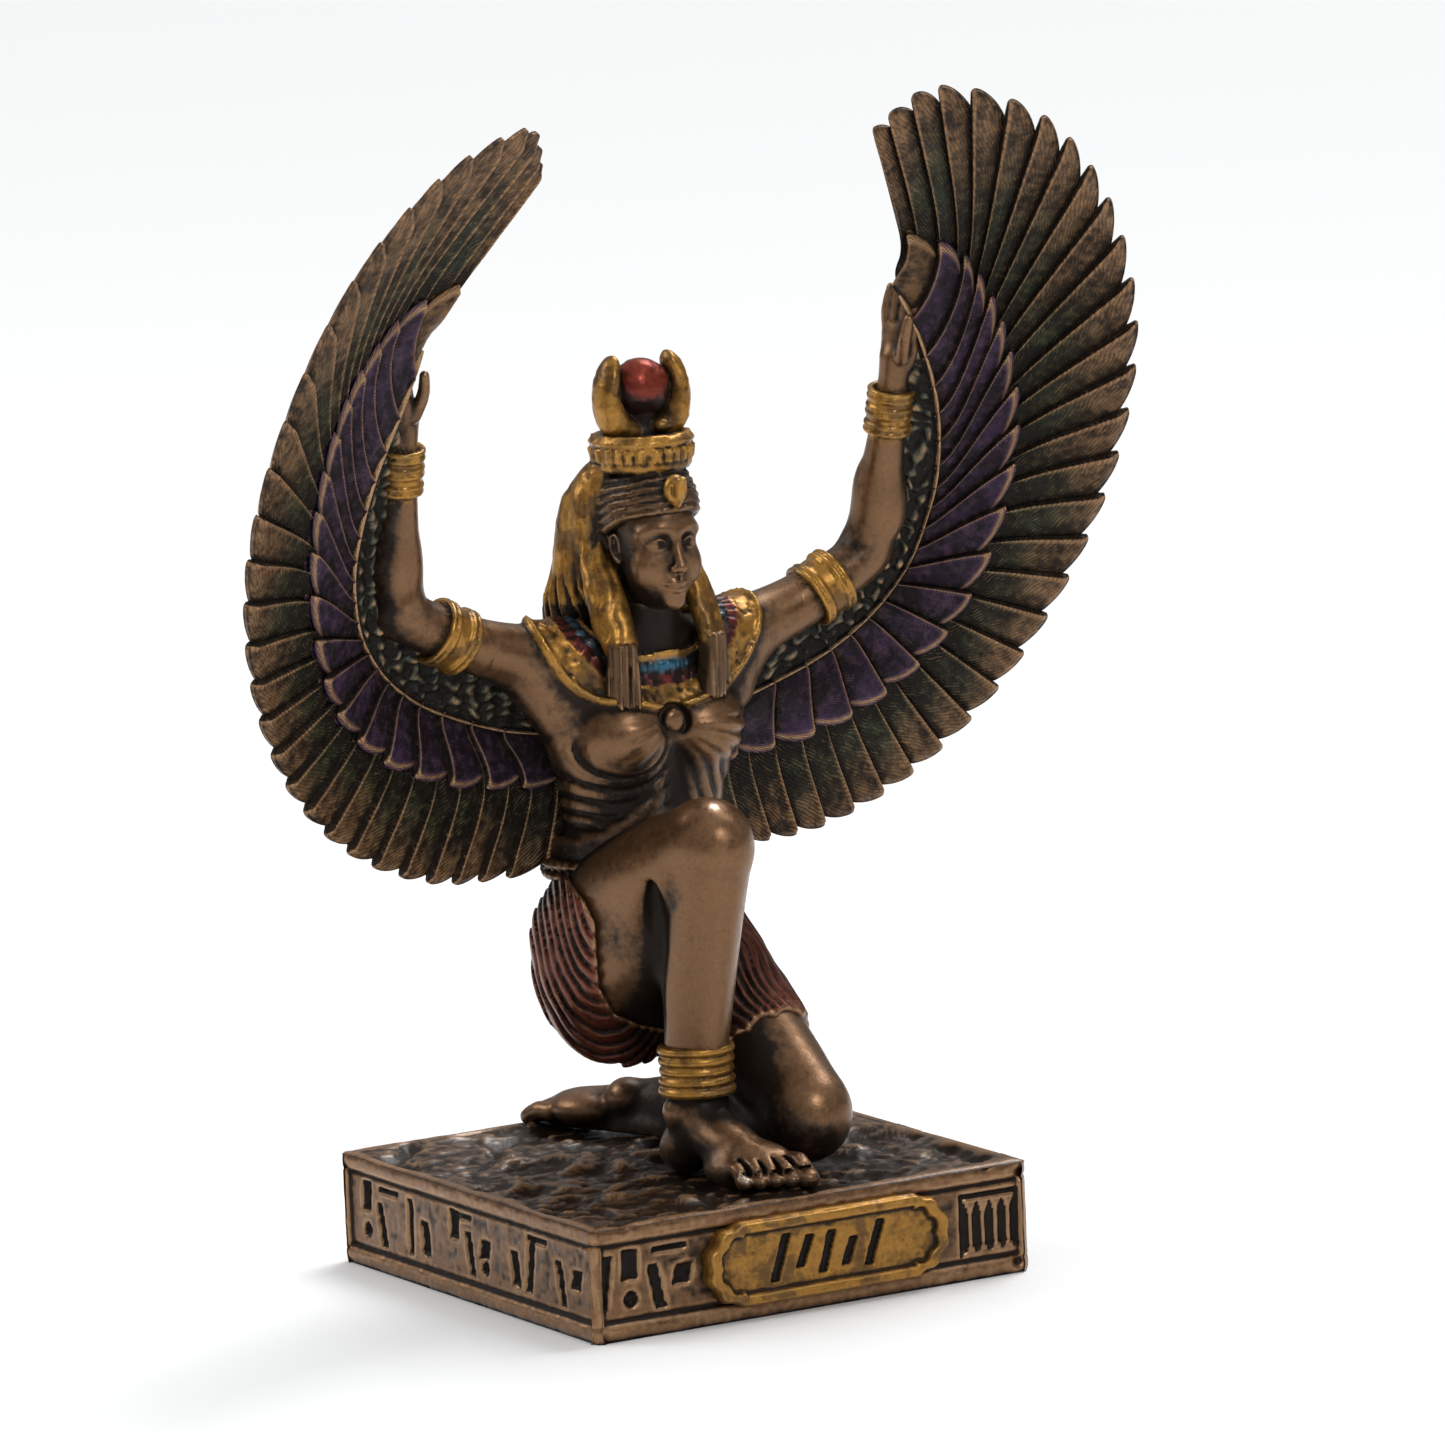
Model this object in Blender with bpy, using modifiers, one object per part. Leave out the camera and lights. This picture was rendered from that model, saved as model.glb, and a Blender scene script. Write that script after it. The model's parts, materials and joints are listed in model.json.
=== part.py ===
"""Kneeling winged goddess statuette, cast in one piece with its plinth.

The frame has its origin at the middle of the plinth's underside, with +Z up and the figure facing -Y.
"""
import math

import bmesh
import bpy
import numpy as np
from mathutils import Matrix, Vector

# Plinth
PLINTH_WIDTH = 0.0380
PLINTH_DEPTH = 0.0385
PLINTH_HEIGHT = 0.0087
RIM_HEIGHT = 0.00145
BAND_SINK = 0.00035
CORNER_RADIUS = 0.0005
STROKE_SINK = 0.0005
STROKE_MARGIN = 0.0006

# Nameplate on the front of the plinth
PLATE_WIDTH = 0.0212
PLATE_HEIGHT = 0.0064
PLATE_PROUD = 0.0010
PLATE_FRAME = 0.0008
SCALLOP = 0.0004
PLATE_SHIFT = 0.0010

# The figure is drawn on a grid of equal units, the plinth's top lying on grid line GROUND
STATUE_HEIGHT = 0.0900
GROUND = 8.7
TOP = 90.0
UNIT = (STATUE_HEIGHT - PLINTH_HEIGHT) / (TOP - GROUND)

# Wings
WING_THICKNESS = 0.0013
COVERT_STEP = 0.0006
RIM_BEAD = 0.00045
FEATHER_STEP = 0.0004
PRIMARIES = 33
COVERTS = 21

# Fineness of the modelled skin, which keeps step with the figure's height
VOXEL = 0.42 * UNIT
SKIN_TRIANGLES = 3800


def at(x, y, z):
    """Place of a grid point in metres."""
    return Vector((x * UNIT, y * UNIT, (z - GROUND) * UNIT + PLINTH_HEIGHT))


def clear_scene():
    for old in list(bpy.data.objects):
        bpy.data.objects.remove(old, do_unlink=True)


def new_collection(name):
    made = bpy.data.collections.new(name)
    bpy.context.scene.collection.children.link(made)
    return made


def make_object(name, mesh, collection):
    made = bpy.data.objects.new(name, mesh)
    collection.objects.link(made)
    return made


def mesh_of(name, fill):
    """Mesh whose bmesh is filled by a function."""
    work = bmesh.new()
    fill(work)
    bmesh.ops.recalc_face_normals(work, faces=work.faces)
    mesh = bpy.data.meshes.new(name)
    work.to_mesh(mesh)
    work.free()
    return mesh


def ball(name, centre, radii, collection, turn=(0, 0, 0)):
    """Squashed sphere, its radii in grid units and its turn in degrees."""
    shape = Matrix.Translation(at(*centre))
    for axis, angle in zip("XYZ", turn):
        shape = shape @ Matrix.Rotation(math.radians(angle), 4, axis)
    shape = shape @ Matrix.Diagonal((radii[0] * UNIT, radii[1] * UNIT, radii[2] * UNIT, 1))

    def fill(work):
        bmesh.ops.create_uvsphere(work, u_segments=24, v_segments=16, radius=1, matrix=shape)

    return make_object(name, mesh_of(name, fill), collection)


def limb(name, stations, collection):
    """Round limb through stations (x, y, z, radius), closed by flat caps."""
    data = bpy.data.curves.new(name, "CURVE")
    data.dimensions = "3D"
    data.bevel_depth = UNIT
    data.bevel_resolution = 5
    data.resolution_u = 8
    data.use_fill_caps = True
    spline = data.splines.new("BEZIER")
    spline.bezier_points.add(len(stations) - 1)
    for point, (x, y, z, radius) in zip(spline.bezier_points, stations):
        point.co = at(x, y, z)
        point.radius = radius
        point.handle_left_type = "AUTO"
        point.handle_right_type = "AUTO"
    curve = make_object(name, data, collection)
    mesh = solid_of(curve)
    bpy.data.objects.remove(curve, do_unlink=True)
    return make_object(name, mesh, collection)


def solid_of(curve):
    """Mesh of a curve object, with its caps welded on."""
    graph = bpy.context.evaluated_depsgraph_get()
    mesh = bpy.data.meshes.new_from_object(curve.evaluated_get(graph))
    work = bmesh.new()
    work.from_mesh(mesh)
    bmesh.ops.remove_doubles(work, verts=work.verts, dist=1e-7)
    bmesh.ops.recalc_face_normals(work, faces=work.faces)
    work.to_mesh(mesh)
    work.free()
    mesh.transform(curve.matrix_world)
    return mesh


def loft(name, rings, collection):
    """Closed solid through rings of equal counts of points."""

    def fill(work):
        rows = [[work.verts.new(point) for point in ring] for ring in rings]
        count = len(rows[0])
        for low, high in zip(rows, rows[1:]):
            for i in range(count):
                j = (i + 1) % count
                work.faces.new((low[i], low[j], high[j], high[i]))
        work.faces.new(rows[0][::-1])
        work.faces.new(rows[-1])

    return make_object(name, mesh_of(name, fill), collection)


def oval(centre, half_width, half_depth, count=28, lean=0.0, twist=0.0):
    """Level ring about a grid point, leaning back by a slope and twisted by degrees."""
    ring = []
    for i in range(count):
        angle = 2 * math.pi * i / count
        x = half_width * math.cos(angle)
        y = half_depth * math.sin(angle)
        t = math.radians(twist)
        px = x * math.cos(t) - y * math.sin(t)
        py = x * math.sin(t) + y * math.cos(t)
        ring.append(at(centre[0] + px, centre[1] + py, centre[2] + lean * y))
    return ring


def mirrored(stations):
    return [(-x, y, z, radius) for x, y, z, radius in stations]


def smooth_path(knots, where):
    """Point on a smooth curve through knots, for a share of the way from 0 to 1."""
    knots = np.asarray(knots, float)
    spans = len(knots) - 1
    place = min(max(where, 0.0), 1.0) * spans
    k = min(int(place), spans - 1)
    t = place - k
    before = knots[max(k - 1, 0)]
    start, end = knots[k], knots[k + 1]
    after = knots[min(k + 2, spans)]
    return 0.5 * (2 * start + (end - before) * t + (2 * before - 5 * start + 4 * end - after) * t * t
                  + (3 * start - before - 3 * end + after) * t ** 3)


# Wing outlines, each as knots from the leading edge down to the spine, on the +X side
OUTER = [(14.2, -10.5, 86.2), (17.4, -14.8, 89.6), (25.6, -16.3, 86.9), (32.3, -14.6, 79.9),
         (36.7, -11.2, 69.8), (37.9, -6.4, 59.2), (35.9, -2.0, 49.3), (31.4, 1.8, 40.7),
         (25.0, 4.6, 34.5), (17.6, 6.0, 31.1), (10.5, 6.4, 30.4), (3.0, 6.4, 31.0)]
MIDDLE = [(20.3, -6.1, 77.8), (24.0, -5.9, 76.4), (27.1, -5.2, 73.2), (29.4, -4.4, 69.0), (30.9, -3.3, 63.4),
          (31.0, -1.6, 57.2), (29.5, 0.6, 50.3), (26.4, 2.8, 44.6), (21.4, 4.4, 40.5), (15.2, 5.3, 38.2),
          (8.6, 5.9, 37.3), (3.0, 6.2, 37.0)]
RIM = [(22.2, -2.8, 73.4), (23.3, -2.0, 68.4), (24.9, -0.7, 63.4), (25.6, 0.8, 58.9), (25.5, 2.2, 55.2),
       (24.6, 3.4, 51.6), (22.9, 4.4, 48.9), (20.2, 5.4, 46.3), (16.4, 6.2, 44.0), (10.3, 6.9, 41.9),
       (3.0, 7.0, 41.0)]
BONE = [(21.7, -1.8, 71.0), (21.8, -0.4, 67.0), (22.0, 1.2, 61.5), (21.8, 2.8, 55.5), (20.2, 3.9, 51.0),
        (15.0, 4.6, 48.0), (9.0, 5.4, 46.5), (3.0, 5.8, 45.0)]


def wing_point(along, across):
    """Point of the wing's middle surface, in grid units.

    along runs from the leading edge to the spine, and across from the arm bone, 0, by the raised rim, 1,
    and the coverts' tips, 2, to the outer tips, 3.
    """
    lines = [smooth_path(line, along) for line in (BONE, RIM, MIDDLE, OUTER)]
    return smooth_path(lines, across / 3)


def wing_normal(along, across):
    """Front-facing unit normal of the wing's middle surface."""
    step = 0.01
    a = wing_point(min(along + step, 1), across) - wing_point(max(along - step, 0), across)
    b = wing_point(along, min(across + step, 3)) - wing_point(along, max(across - step, 0))
    normal = np.cross(a, b)
    return normal / np.linalg.norm(normal)


def wing_sheet(name, columns, rows, collection):
    """Closed slab between front and back grids of the wing.

    columns is a list of (along, reach, lift) and rows a list of (across, front, back); reach scales the last
    row, and lift adds to every front height of its column.
    """
    fronts, backs = [], []
    for along, reach, lift in columns:
        front, back = [], []
        for i, (across, high, low) in enumerate(rows):
            spot = across if i < len(rows) - 1 else rows[-2][0] + (across - rows[-2][0]) * reach
            base = at(*wing_point(along, spot))
            normal = Vector(wing_normal(along, spot))
            rise = high + (lift if i > 0 else 0)
            front.append(base + normal * rise)
            back.append(base - normal * low)
        fronts.append(front)
        backs.append(back)

    def fill(work):
        top = [[work.verts.new(p) for p in line] for line in fronts]
        under = [[work.verts.new(p) for p in line] for line in backs]
        last = len(rows) - 1
        for i in range(len(columns) - 1):
            for j in range(last):
                work.faces.new((top[i][j], top[i][j + 1], top[i + 1][j + 1], top[i + 1][j]))
                work.faces.new((under[i][j], under[i + 1][j], under[i + 1][j + 1], under[i][j + 1]))
            work.faces.new((top[i][0], top[i + 1][0], under[i + 1][0], under[i][0]))
            work.faces.new((top[i][last], under[i][last], under[i + 1][last], top[i + 1][last]))
        for j in range(last):
            work.faces.new((top[0][j], under[0][j], under[0][j + 1], top[0][j + 1]))
            work.faces.new((top[-1][j], top[-1][j + 1], under[-1][j + 1], under[-1][j]))

    return make_object(name, mesh_of(name, fill), collection)


def feather_columns(count, first, last, notch, lift):
    """Columns of a row of shingled feathers: a low start, a raised leading edge and a sloping vane."""
    columns = []
    for k in range(count):
        start = first + (last - first) * k / count
        width = (last - first) / count
        columns.append((start, notch, 0.0))
        columns.append((start + 0.2 * width, 1.0, lift))
    columns.append((last, notch, 0.0))
    return columns


def wing_pieces(collection):
    """Primaries, coverts, scapular band and rim bead of the wing on the +X side."""
    thick = WING_THICKNESS
    primaries = wing_sheet(
        "primaries", feather_columns(PRIMARIES, 0.0, 1.0, 0.93, FEATHER_STEP),
        [(0.8, 0.1 * thick, 0.6 * thick), (1.9, 0.35 * thick, 0.6 * thick), (3.0, 0.4 * thick, 0.5 * thick)],
        collection)
    coverts = wing_sheet(
        "coverts", feather_columns(COVERTS, 0.015, 0.985, 0.92, FEATHER_STEP),
        [(0.9, 0.3 * thick, 0.0), (1.3, 0.5 * thick + COVERT_STEP, 0.0),
         (2.03, 0.4 * thick + COVERT_STEP, 0.0)], collection)
    lanes = 18
    band = wing_sheet(
        "band", [(0.04 + 0.96 * i / lanes, 1.0, 0.0) for i in range(lanes + 1)],
        [(0.0, 0.5 * thick, 0.25 * thick), (0.93, 0.5 * thick + COVERT_STEP, 0.25 * thick),
         (1.0, 0.5 * thick + COVERT_STEP + RIM_BEAD, 0.15 * thick), (1.06, 0.5 * thick + COVERT_STEP, 0.05 * thick)],
        collection)
    return [primaries, coverts, band]


def arm_pieces(collection):
    """Arm, bands and hand on the +X side."""
    arm = [(6.5, 3.2, 46.9, 2.9), (10.5, 3.4, 47.8, 2.45), (14.0, 3.2, 49.0, 2.15), (17.5, 3.0, 50.6, 2.0),
           (20.0, 2.9, 52.2, 2.0), (20.9, 2.2, 55.2, 1.95), (21.2, 1.3, 58.8, 1.7), (21.3, 0.3, 62.6, 1.35),
           (21.4, -0.5, 65.6, 1.3), (21.6, -1.0, 67.6, 1.35)]
    armlet = [(15.1, 3.1, 49.4, 2.55), (16.4, 3.0, 50.0, 2.4), (17.7, 2.95, 50.75, 2.6)]
    bracelet = [(21.25, 0.55, 61.8, 1.85), (21.3, 0.15, 63.4, 1.65), (21.35, -0.25, 65.0, 1.85)]
    pieces = [limb("arm", arm, collection), limb("armlet", armlet, collection),
              limb("bracelet", bracelet, collection),
              ball("palm", (21.7, -1.3, 68.6), (1.0, 1.75, 2.3), collection, (18, 0, 0))]
    for k in range(4):
        spread = -1.35 + 0.82 * k
        tip = 73.4 - 0.35 * abs(k - 1.5)
        finger = [(21.7, -1.7 + spread, 69.6, 0.55), (21.9, -2.3 + 1.1 * spread, tip, 0.42)]
        pieces.append(limb("finger", finger, collection))
    return pieces


# Skirt over the hips, as a squashed sphere on the figure's grid
SKIRT_CENTRE = (-1.4, 5.2, 22.4)
SKIRT_RADII = (7.0, 6.6, 7.2)
SKIRT_PLEATS = 9
SHAWL_FOLDS = 6


def pleat_ridges(collection):
    """Rounded ridges that sweep from the back of the hip down to the open edge of the skirt."""
    pieces = []
    for k in range(SKIRT_PLEATS):
        low = math.radians(38 - 13.5 * k)
        path = []
        for step in range(7):
            around = math.radians(110 + 21 * step)
            rise = low - 0.22 * math.sin(math.pi * step / 6) - 0.06 * step
            spot = [SKIRT_CENTRE[0] + SKIRT_RADII[0] * math.cos(around) * math.cos(rise),
                    SKIRT_CENTRE[1] + SKIRT_RADII[1] * math.sin(around) * math.cos(rise),
                    SKIRT_CENTRE[2] + SKIRT_RADII[2] * math.sin(rise)]
            path.append((*spot, 0.42))
        pieces.append(limb("pleat", path, collection))
    return pieces


def shawl_folds(collection):
    """Folds of the shawl that fan out from the brooch to the figure's right side."""
    pieces = []
    for k in range(SHAWL_FOLDS):
        end = 43.5 - 2.2 * k
        path = [(-1.2, -2.4, 41.6 - 0.35 * k, 0.3), (-3.6, -2.3, 41.2 - 1.0 * k, 0.42),
                (-6.2, -0.6, 0.5 * (41 - k + end), 0.42), (-7.9, 2.4, end, 0.36)]
        pieces.append(limb("fold", path, collection))
    return pieces


def body_pieces(collection):
    torso = [((0.0, 5.0, 24.0), 7.2, 6.2), ((0.0, 4.6, 27.0), 7.0, 5.5), ((-0.2, 3.9, 30.0), 6.7, 4.8),
             ((-0.2, 3.2, 34.0), 6.3, 4.3), ((0.0, 3.0, 38.0), 7.2, 4.4), ((0.0, 3.0, 41.5), 8.4, 4.6),
             ((0.0, 3.2, 44.5), 8.9, 4.3), ((0.0, 3.3, 47.0), 8.4, 3.4), ((0.0, 2.4, 49.0), 4.6, 2.8),
             ((0.0, 1.6, 50.4), 2.1, 2.0), ((0.0, 1.0, 52.6), 1.9, 1.9)]
    collar = [((0.0, 3.0, 45.4), 9.3, 5.1), ((0.0, 3.0, 46.3), 8.9, 5.0), ((0.0, 2.4, 49.4), 4.8, 3.2),
              ((0.0, 1.6, 50.9), 2.5, 2.3)]
    thigh_up = [(-4.6, 5.0, 25.5, 5.2), (-4.3, 1.0, 28.6, 5.0), (-3.3, -4.5, 32.2, 4.2), (-1.9, -9.2, 34.6, 3.4)]
    shin_up = [(-1.8, -9.9, 34.4, 3.1), (-1.9, -8.9, 30.5, 3.0), (-2.0, -7.5, 26.0, 2.9), (-2.0, -6.7, 21.5, 2.4),
               (-2.0, -6.4, 17.6, 2.05), (-2.1, -6.2, 13.0, 1.9), (-2.1, -6.0, 10.5, 2.0)]
    anklet = [(-2.0, -6.4, 15.0, 2.75), (-2.0, -6.5, 18.4, 2.75)]
    thigh_down = [(3.4, 4.6, 23.6, 5.2), (4.4, -1.0, 19.0, 4.6), (5.2, -6.4, 15.0, 4.0), (5.5, -9.4, 12.7, 3.5)]
    shin_down = [(5.5, -8.5, 11.6, 3.0), (5.2, 1.0, 11.4, 2.9), (3.8, 8.0, 11.2, 2.1), (2.0, 12.0, 11.0, 1.9),
                 (-0.3, 16.0, 10.2, 1.5), (-1.9, 18.4, 9.8, 1.0)]
    pieces = [loft("torso", [oval(c, a, b) for c, a, b in torso], collection),
              loft("collar", [oval(c, a, b, lean=0.42) for c, a, b in collar], collection),
              limb("thigh_up", thigh_up, collection), limb("shin_up", shin_up, collection),
              limb("anklet", anklet, collection), limb("thigh_down", thigh_down, collection),
              limb("shin_down", shin_down, collection),
              ball("skirt", SKIRT_CENTRE, SKIRT_RADII, collection),
              ball("breast_left", (3.5, -0.7, 41.4), (2.6, 2.4, 2.5), collection),
              ball("breast_right", (-3.5, -0.7, 41.4), (2.6, 2.4, 2.5), collection),
              ball("knee_up", (-1.8, -9.8, 34.5), (3.3, 3.1, 3.3), collection),
              ball("knee_down", (5.5, -9.6, 12.6), (3.6, 3.6, 3.7), collection),
              ball("brooch", (0.0, -2.2, 42.2), (0.9, 0.7, 0.9), collection),
              ball("heel", (-2.2, -4.9, 10.6), (1.8, 2.3, 2.0), collection),
              ball("instep", (-1.7, -9.6, 10.7), (2.2, 4.6, 2.2), collection, (14, 0, 0)),
              ball("forefoot", (-1.1, -13.0, 9.6), (2.6, 2.6, 1.3), collection)]
    pieces += pleat_ridges(collection) + shawl_folds(collection)
    for k in range(5):
        across = -3.2 + 1.15 * k
        reach = -14.6 - 0.5 * k
        size = 0.62 + (0.3 if k == 4 else 0.03 * k)
        toe = [(across * 0.9, -12.6, 9.7, size), (across, 0.5 * (reach - 12.6), 9.6, size),
               (across, reach, 9.3, size * 0.95)]
        pieces.append(limb("toe", toe, collection))
    return pieces


def head_pieces(collection):
    pieces = [ball("face", (0.2, -0.5, 55.6), (3.05, 3.3, 4.8), collection, (-6, 0, 0)),
              ball("nose", (0.3, -3.8, 55.3), (0.5, 0.6, 1.1), collection),
              ball("chin", (0.25, -2.6, 51.9), (1.1, 1.0, 0.9), collection),
              ball("cap", (0.0, 1.0, 58.0), (4.1, 4.5, 3.8), collection),
              ball("ear_left", (3.4, 0.0, 55.6), (0.6, 0.9, 1.3), collection),
              ball("ear_right", (-3.4, 0.0, 55.6), (0.6, 0.9, 1.3), collection),
              ball("disc", (0.3, 0.3, 66.9), (2.6, 1.9, 2.6), collection),
              limb("modius", [(0.0, 1.1, 60.2, 3.5), (0.0, 1.1, 61.2, 3.6), (0.0, 1.2, 62.0, 3.9),
                              (0.0, 1.2, 63.4, 3.9)], collection),
              limb("uraeus", [(0.0, -3.0, 59.6, 0.7), (0.0, -4.6, 60.2, 0.75), (0.0, -4.4, 61.4, 0.55)],
                   collection),
              loft("fall", [oval((-0.1, 2.6, 61.4), 3.6, 3.0), oval((-0.3, 4.2, 58.8), 4.8, 3.6),
                            oval((-0.3, 5.1, 55.5), 5.1, 3.5), oval((-0.2, 5.8, 52.0), 5.4, 3.2),
                            oval((0.0, 6.1, 49.0), 5.6, 2.8), oval((0.0, 6.3, 46.0), 5.6, 2.3)], collection)]
    lappet = [(3.1, 1.4, 56.8, 1.0), (3.5, 0.9, 53.4, 1.3), (4.3, 0.1, 49.8, 1.5), (4.7, -0.4, 46.4, 1.4),
              (4.5, -0.7, 43.9, 1.5)]
    horn = [(0.8, 1.2, 63.4, 1.0), (2.4, 1.2, 64.1, 1.25), (3.1, 1.1, 66.2, 1.2), (3.0, 1.0, 68.5, 1.0),
            (2.2, 0.9, 70.4, 0.5)]
    pieces += [limb("lappet", lappet, collection), limb("lappet", mirrored(lappet), collection),
               limb("horn", horn, collection), limb("horn", mirrored(horn), collection)]
    return pieces


def join(name, pieces, collection):
    """One object out of many, their meshes laid together."""
    work = bmesh.new()
    for piece in pieces:
        work.from_mesh(piece.data)
        bpy.data.objects.remove(piece, do_unlink=True)
    mesh = bpy.data.meshes.new(name)
    work.to_mesh(mesh)
    work.free()
    return make_object(name, mesh, collection)


def applied(piece, collection):
    """The piece with its modifiers worked into its mesh."""
    graph = bpy.context.evaluated_depsgraph_get()
    mesh = bpy.data.meshes.new_from_object(piece.evaluated_get(graph))
    name = piece.name
    bpy.data.objects.remove(piece, do_unlink=True)
    return make_object(name, mesh, collection)


def skin(name, pieces, triangles, collection):
    """Pieces melted into one smooth closed skin of a chosen count of triangles."""
    body = join(name, pieces, collection)
    melt = body.modifiers.new("melt", "REMESH")
    melt.mode = "VOXEL"
    melt.voxel_size = VOXEL
    soften = body.modifiers.new("soften", "SMOOTH")
    soften.factor = 0.5
    soften.iterations = 4
    body = applied(body, collection)
    return thinned(body, triangles, collection)


def thinned(piece, triangles, collection):
    """The piece cut down to a count of triangles."""
    thin = piece.modifiers.new("thin", "DECIMATE")
    thin.ratio = min(1.0, triangles / sum(len(face.vertices) - 2 for face in piece.data.polygons))
    return applied(piece, collection)


def mirror_join(name, pieces, collection):
    """Pieces of the +X side and their mirror images in one object."""
    half = join(name, pieces, collection)
    flip = half.modifiers.new("flip", "MIRROR")
    flip.use_axis = (True, False, False)
    flip.use_mirror_merge = False
    return applied(half, collection)


def box(name, size, centre, collection, bevel=0.0):
    def fill(work):
        place = Matrix.Translation(centre) @ Matrix.Diagonal((*size, 1))
        bmesh.ops.create_cube(work, size=1, matrix=place)

    made = make_object(name, mesh_of(name, fill), collection)
    if bevel:
        edge = made.modifiers.new("edge", "BEVEL")
        edge.width = bevel
        edge.segments = 2
        made = applied(made, collection)
    return made


def cut(target, tools, operation, collection, solver="EXACT"):
    """Joins the tools to the target or cuts them from it, one after the other."""
    for tool in tools:
        step = target.modifiers.new("step", "BOOLEAN")
        step.operation = operation
        step.solver = solver
        step.object = tool
        target = applied(target, collection)
        bpy.data.objects.remove(tool, do_unlink=True)
    return target


def stroke_boxes(face_length, along_x, place, first, last, collection):
    """Shallow strokes of a carved band: bars of changing height and width in a steady march."""
    band = PLINTH_HEIGHT - 2 * RIM_HEIGHT - 2 * STROKE_MARGIN
    pitch = face_length / 26
    tools = []
    for k in range(first, last):
        tall = band * (0.9, 0.45, 0.7, 0.3, 0.9, 0.55)[k % 6]
        rise = (band - tall) * (0.5, 1.0, 0.0, 0.5, 0.5, 0.2)[k % 6]
        wide = pitch * (0.4, 0.55, 0.35, 0.6, 0.3, 0.5)[k % 6]
        spot = -0.5 * face_length + (k + 0.5) * pitch
        height = RIM_HEIGHT + STROKE_MARGIN + rise + 0.5 * tall
        deep = 2 * (STROKE_SINK + BAND_SINK)
        if along_x:
            tools.append(box("stroke", (wide, deep, tall), (spot, place, height), collection))
        else:
            tools.append(box("stroke", (deep, wide, tall), (place, spot, height), collection))
    return tools


def tablet(name, width, height, thick, place, scallop, collection):
    """Upright plate with straight long edges and round, scalloped ends, on the plinth's front."""
    data = bpy.data.curves.new(name, "CURVE")
    data.dimensions = "2D"
    data.fill_mode = "BOTH"
    data.extrude = 0.5 * thick
    spline = data.splines.new("POLY")
    outline = []
    steps = 12
    for side in (1, -1):
        for i in range(steps + 1):
            angle = math.pi * (i / steps - 0.5)
            reach = 0.5 * height - scallop * (0.5 + 0.5 * math.cos(6 * math.pi * i / steps))
            x = side * (0.5 * (width - height) + reach * math.cos(angle))
            outline.append((x, side * 0.5 * height * math.sin(angle)))
    spline.points.add(len(outline) - 1)
    for point, (x, z) in zip(spline.points, outline):
        point.co = (x, z, 0, 1)
    spline.use_cyclic_u = True
    curve = make_object(name, data, collection)
    curve.matrix_world = Matrix.Translation((PLATE_SHIFT, place, 0.5 * PLINTH_HEIGHT)) @ Matrix.Rotation(
        0.5 * math.pi, 4, "X")
    bpy.context.view_layer.update()
    mesh = solid_of(curve)
    bpy.data.objects.remove(curve, do_unlink=True)
    return make_object(name, mesh, collection)


def plinth(collection, cutters):
    """Square block with a rounded rim above and below a sunk, carved band, and the raised nameplate."""
    block = box("plinth", (PLINTH_WIDTH, PLINTH_DEPTH, PLINTH_HEIGHT), (0, 0, 0.5 * PLINTH_HEIGHT), collection,
                CORNER_RADIUS)
    band_height = PLINTH_HEIGHT - 2 * RIM_HEIGHT
    reach = 2 * PLINTH_WIDTH
    middle = 0.5 * PLINTH_HEIGHT
    half_x = 0.5 * PLINTH_WIDTH
    half_y = 0.5 * PLINTH_DEPTH
    grooves = []
    for side in (-1, 1):
        grooves.append(box("groove", (2 * BAND_SINK, reach, band_height), (side * half_x, 0, middle), cutters))
        grooves.append(box("groove", (reach, 2 * BAND_SINK, band_height), (0, side * half_y, middle), cutters))
    block = cut(block, grooves, "DIFFERENCE", collection)
    strokes = stroke_boxes(PLINTH_DEPTH, False, -half_x, 1, 25, cutters)
    strokes += stroke_boxes(PLINTH_WIDTH, True, -half_y, 1, 6, cutters)
    strokes += stroke_boxes(PLINTH_WIDTH, True, -half_y, 22, 25, cutters)
    block = cut(block, strokes, "DIFFERENCE", collection)
    face = -half_y + BAND_SINK
    plate = tablet("plate", PLATE_WIDTH, PLATE_HEIGHT, 2 * PLATE_PROUD, face, SCALLOP, cutters)
    field = tablet("field", PLATE_WIDTH - 4 * PLATE_FRAME, PLATE_HEIGHT - 2 * PLATE_FRAME, PLATE_PROUD,
                   face - PLATE_PROUD, 0.0, cutters)
    plate = cut(plate, [field], "DIFFERENCE", cutters)
    return cut(block, [plate], "UNION", collection)


def material(name, colour, roughness, metallic):
    made = bpy.data.materials.new(name)
    made.use_nodes = True
    shader = made.node_tree.nodes["Principled BSDF"]
    shader.inputs["Base Color"].default_value = (*colour, 1)
    shader.inputs["Roughness"].default_value = roughness
    shader.inputs["Metallic"].default_value = metallic
    return made


def keep_main_body(piece):
    """Clears the crumbs that a union leaves where two skins graze each other."""
    work = bmesh.new()
    work.from_mesh(piece.data)
    unseen = set(work.verts)
    shells = []
    while unseen:
        shell = set()
        front = {unseen.pop()}
        while front:
            shell |= front
            front = {edge.other_vert(vert) for vert in front for edge in vert.link_edges} - shell
        unseen -= shell
        shells.append(shell)
    main = max(shells, key=len)
    bmesh.ops.delete(work, geom=[vert for vert in work.verts if vert not in main], context="VERTS")
    work.to_mesh(piece.data)
    work.free()


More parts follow.
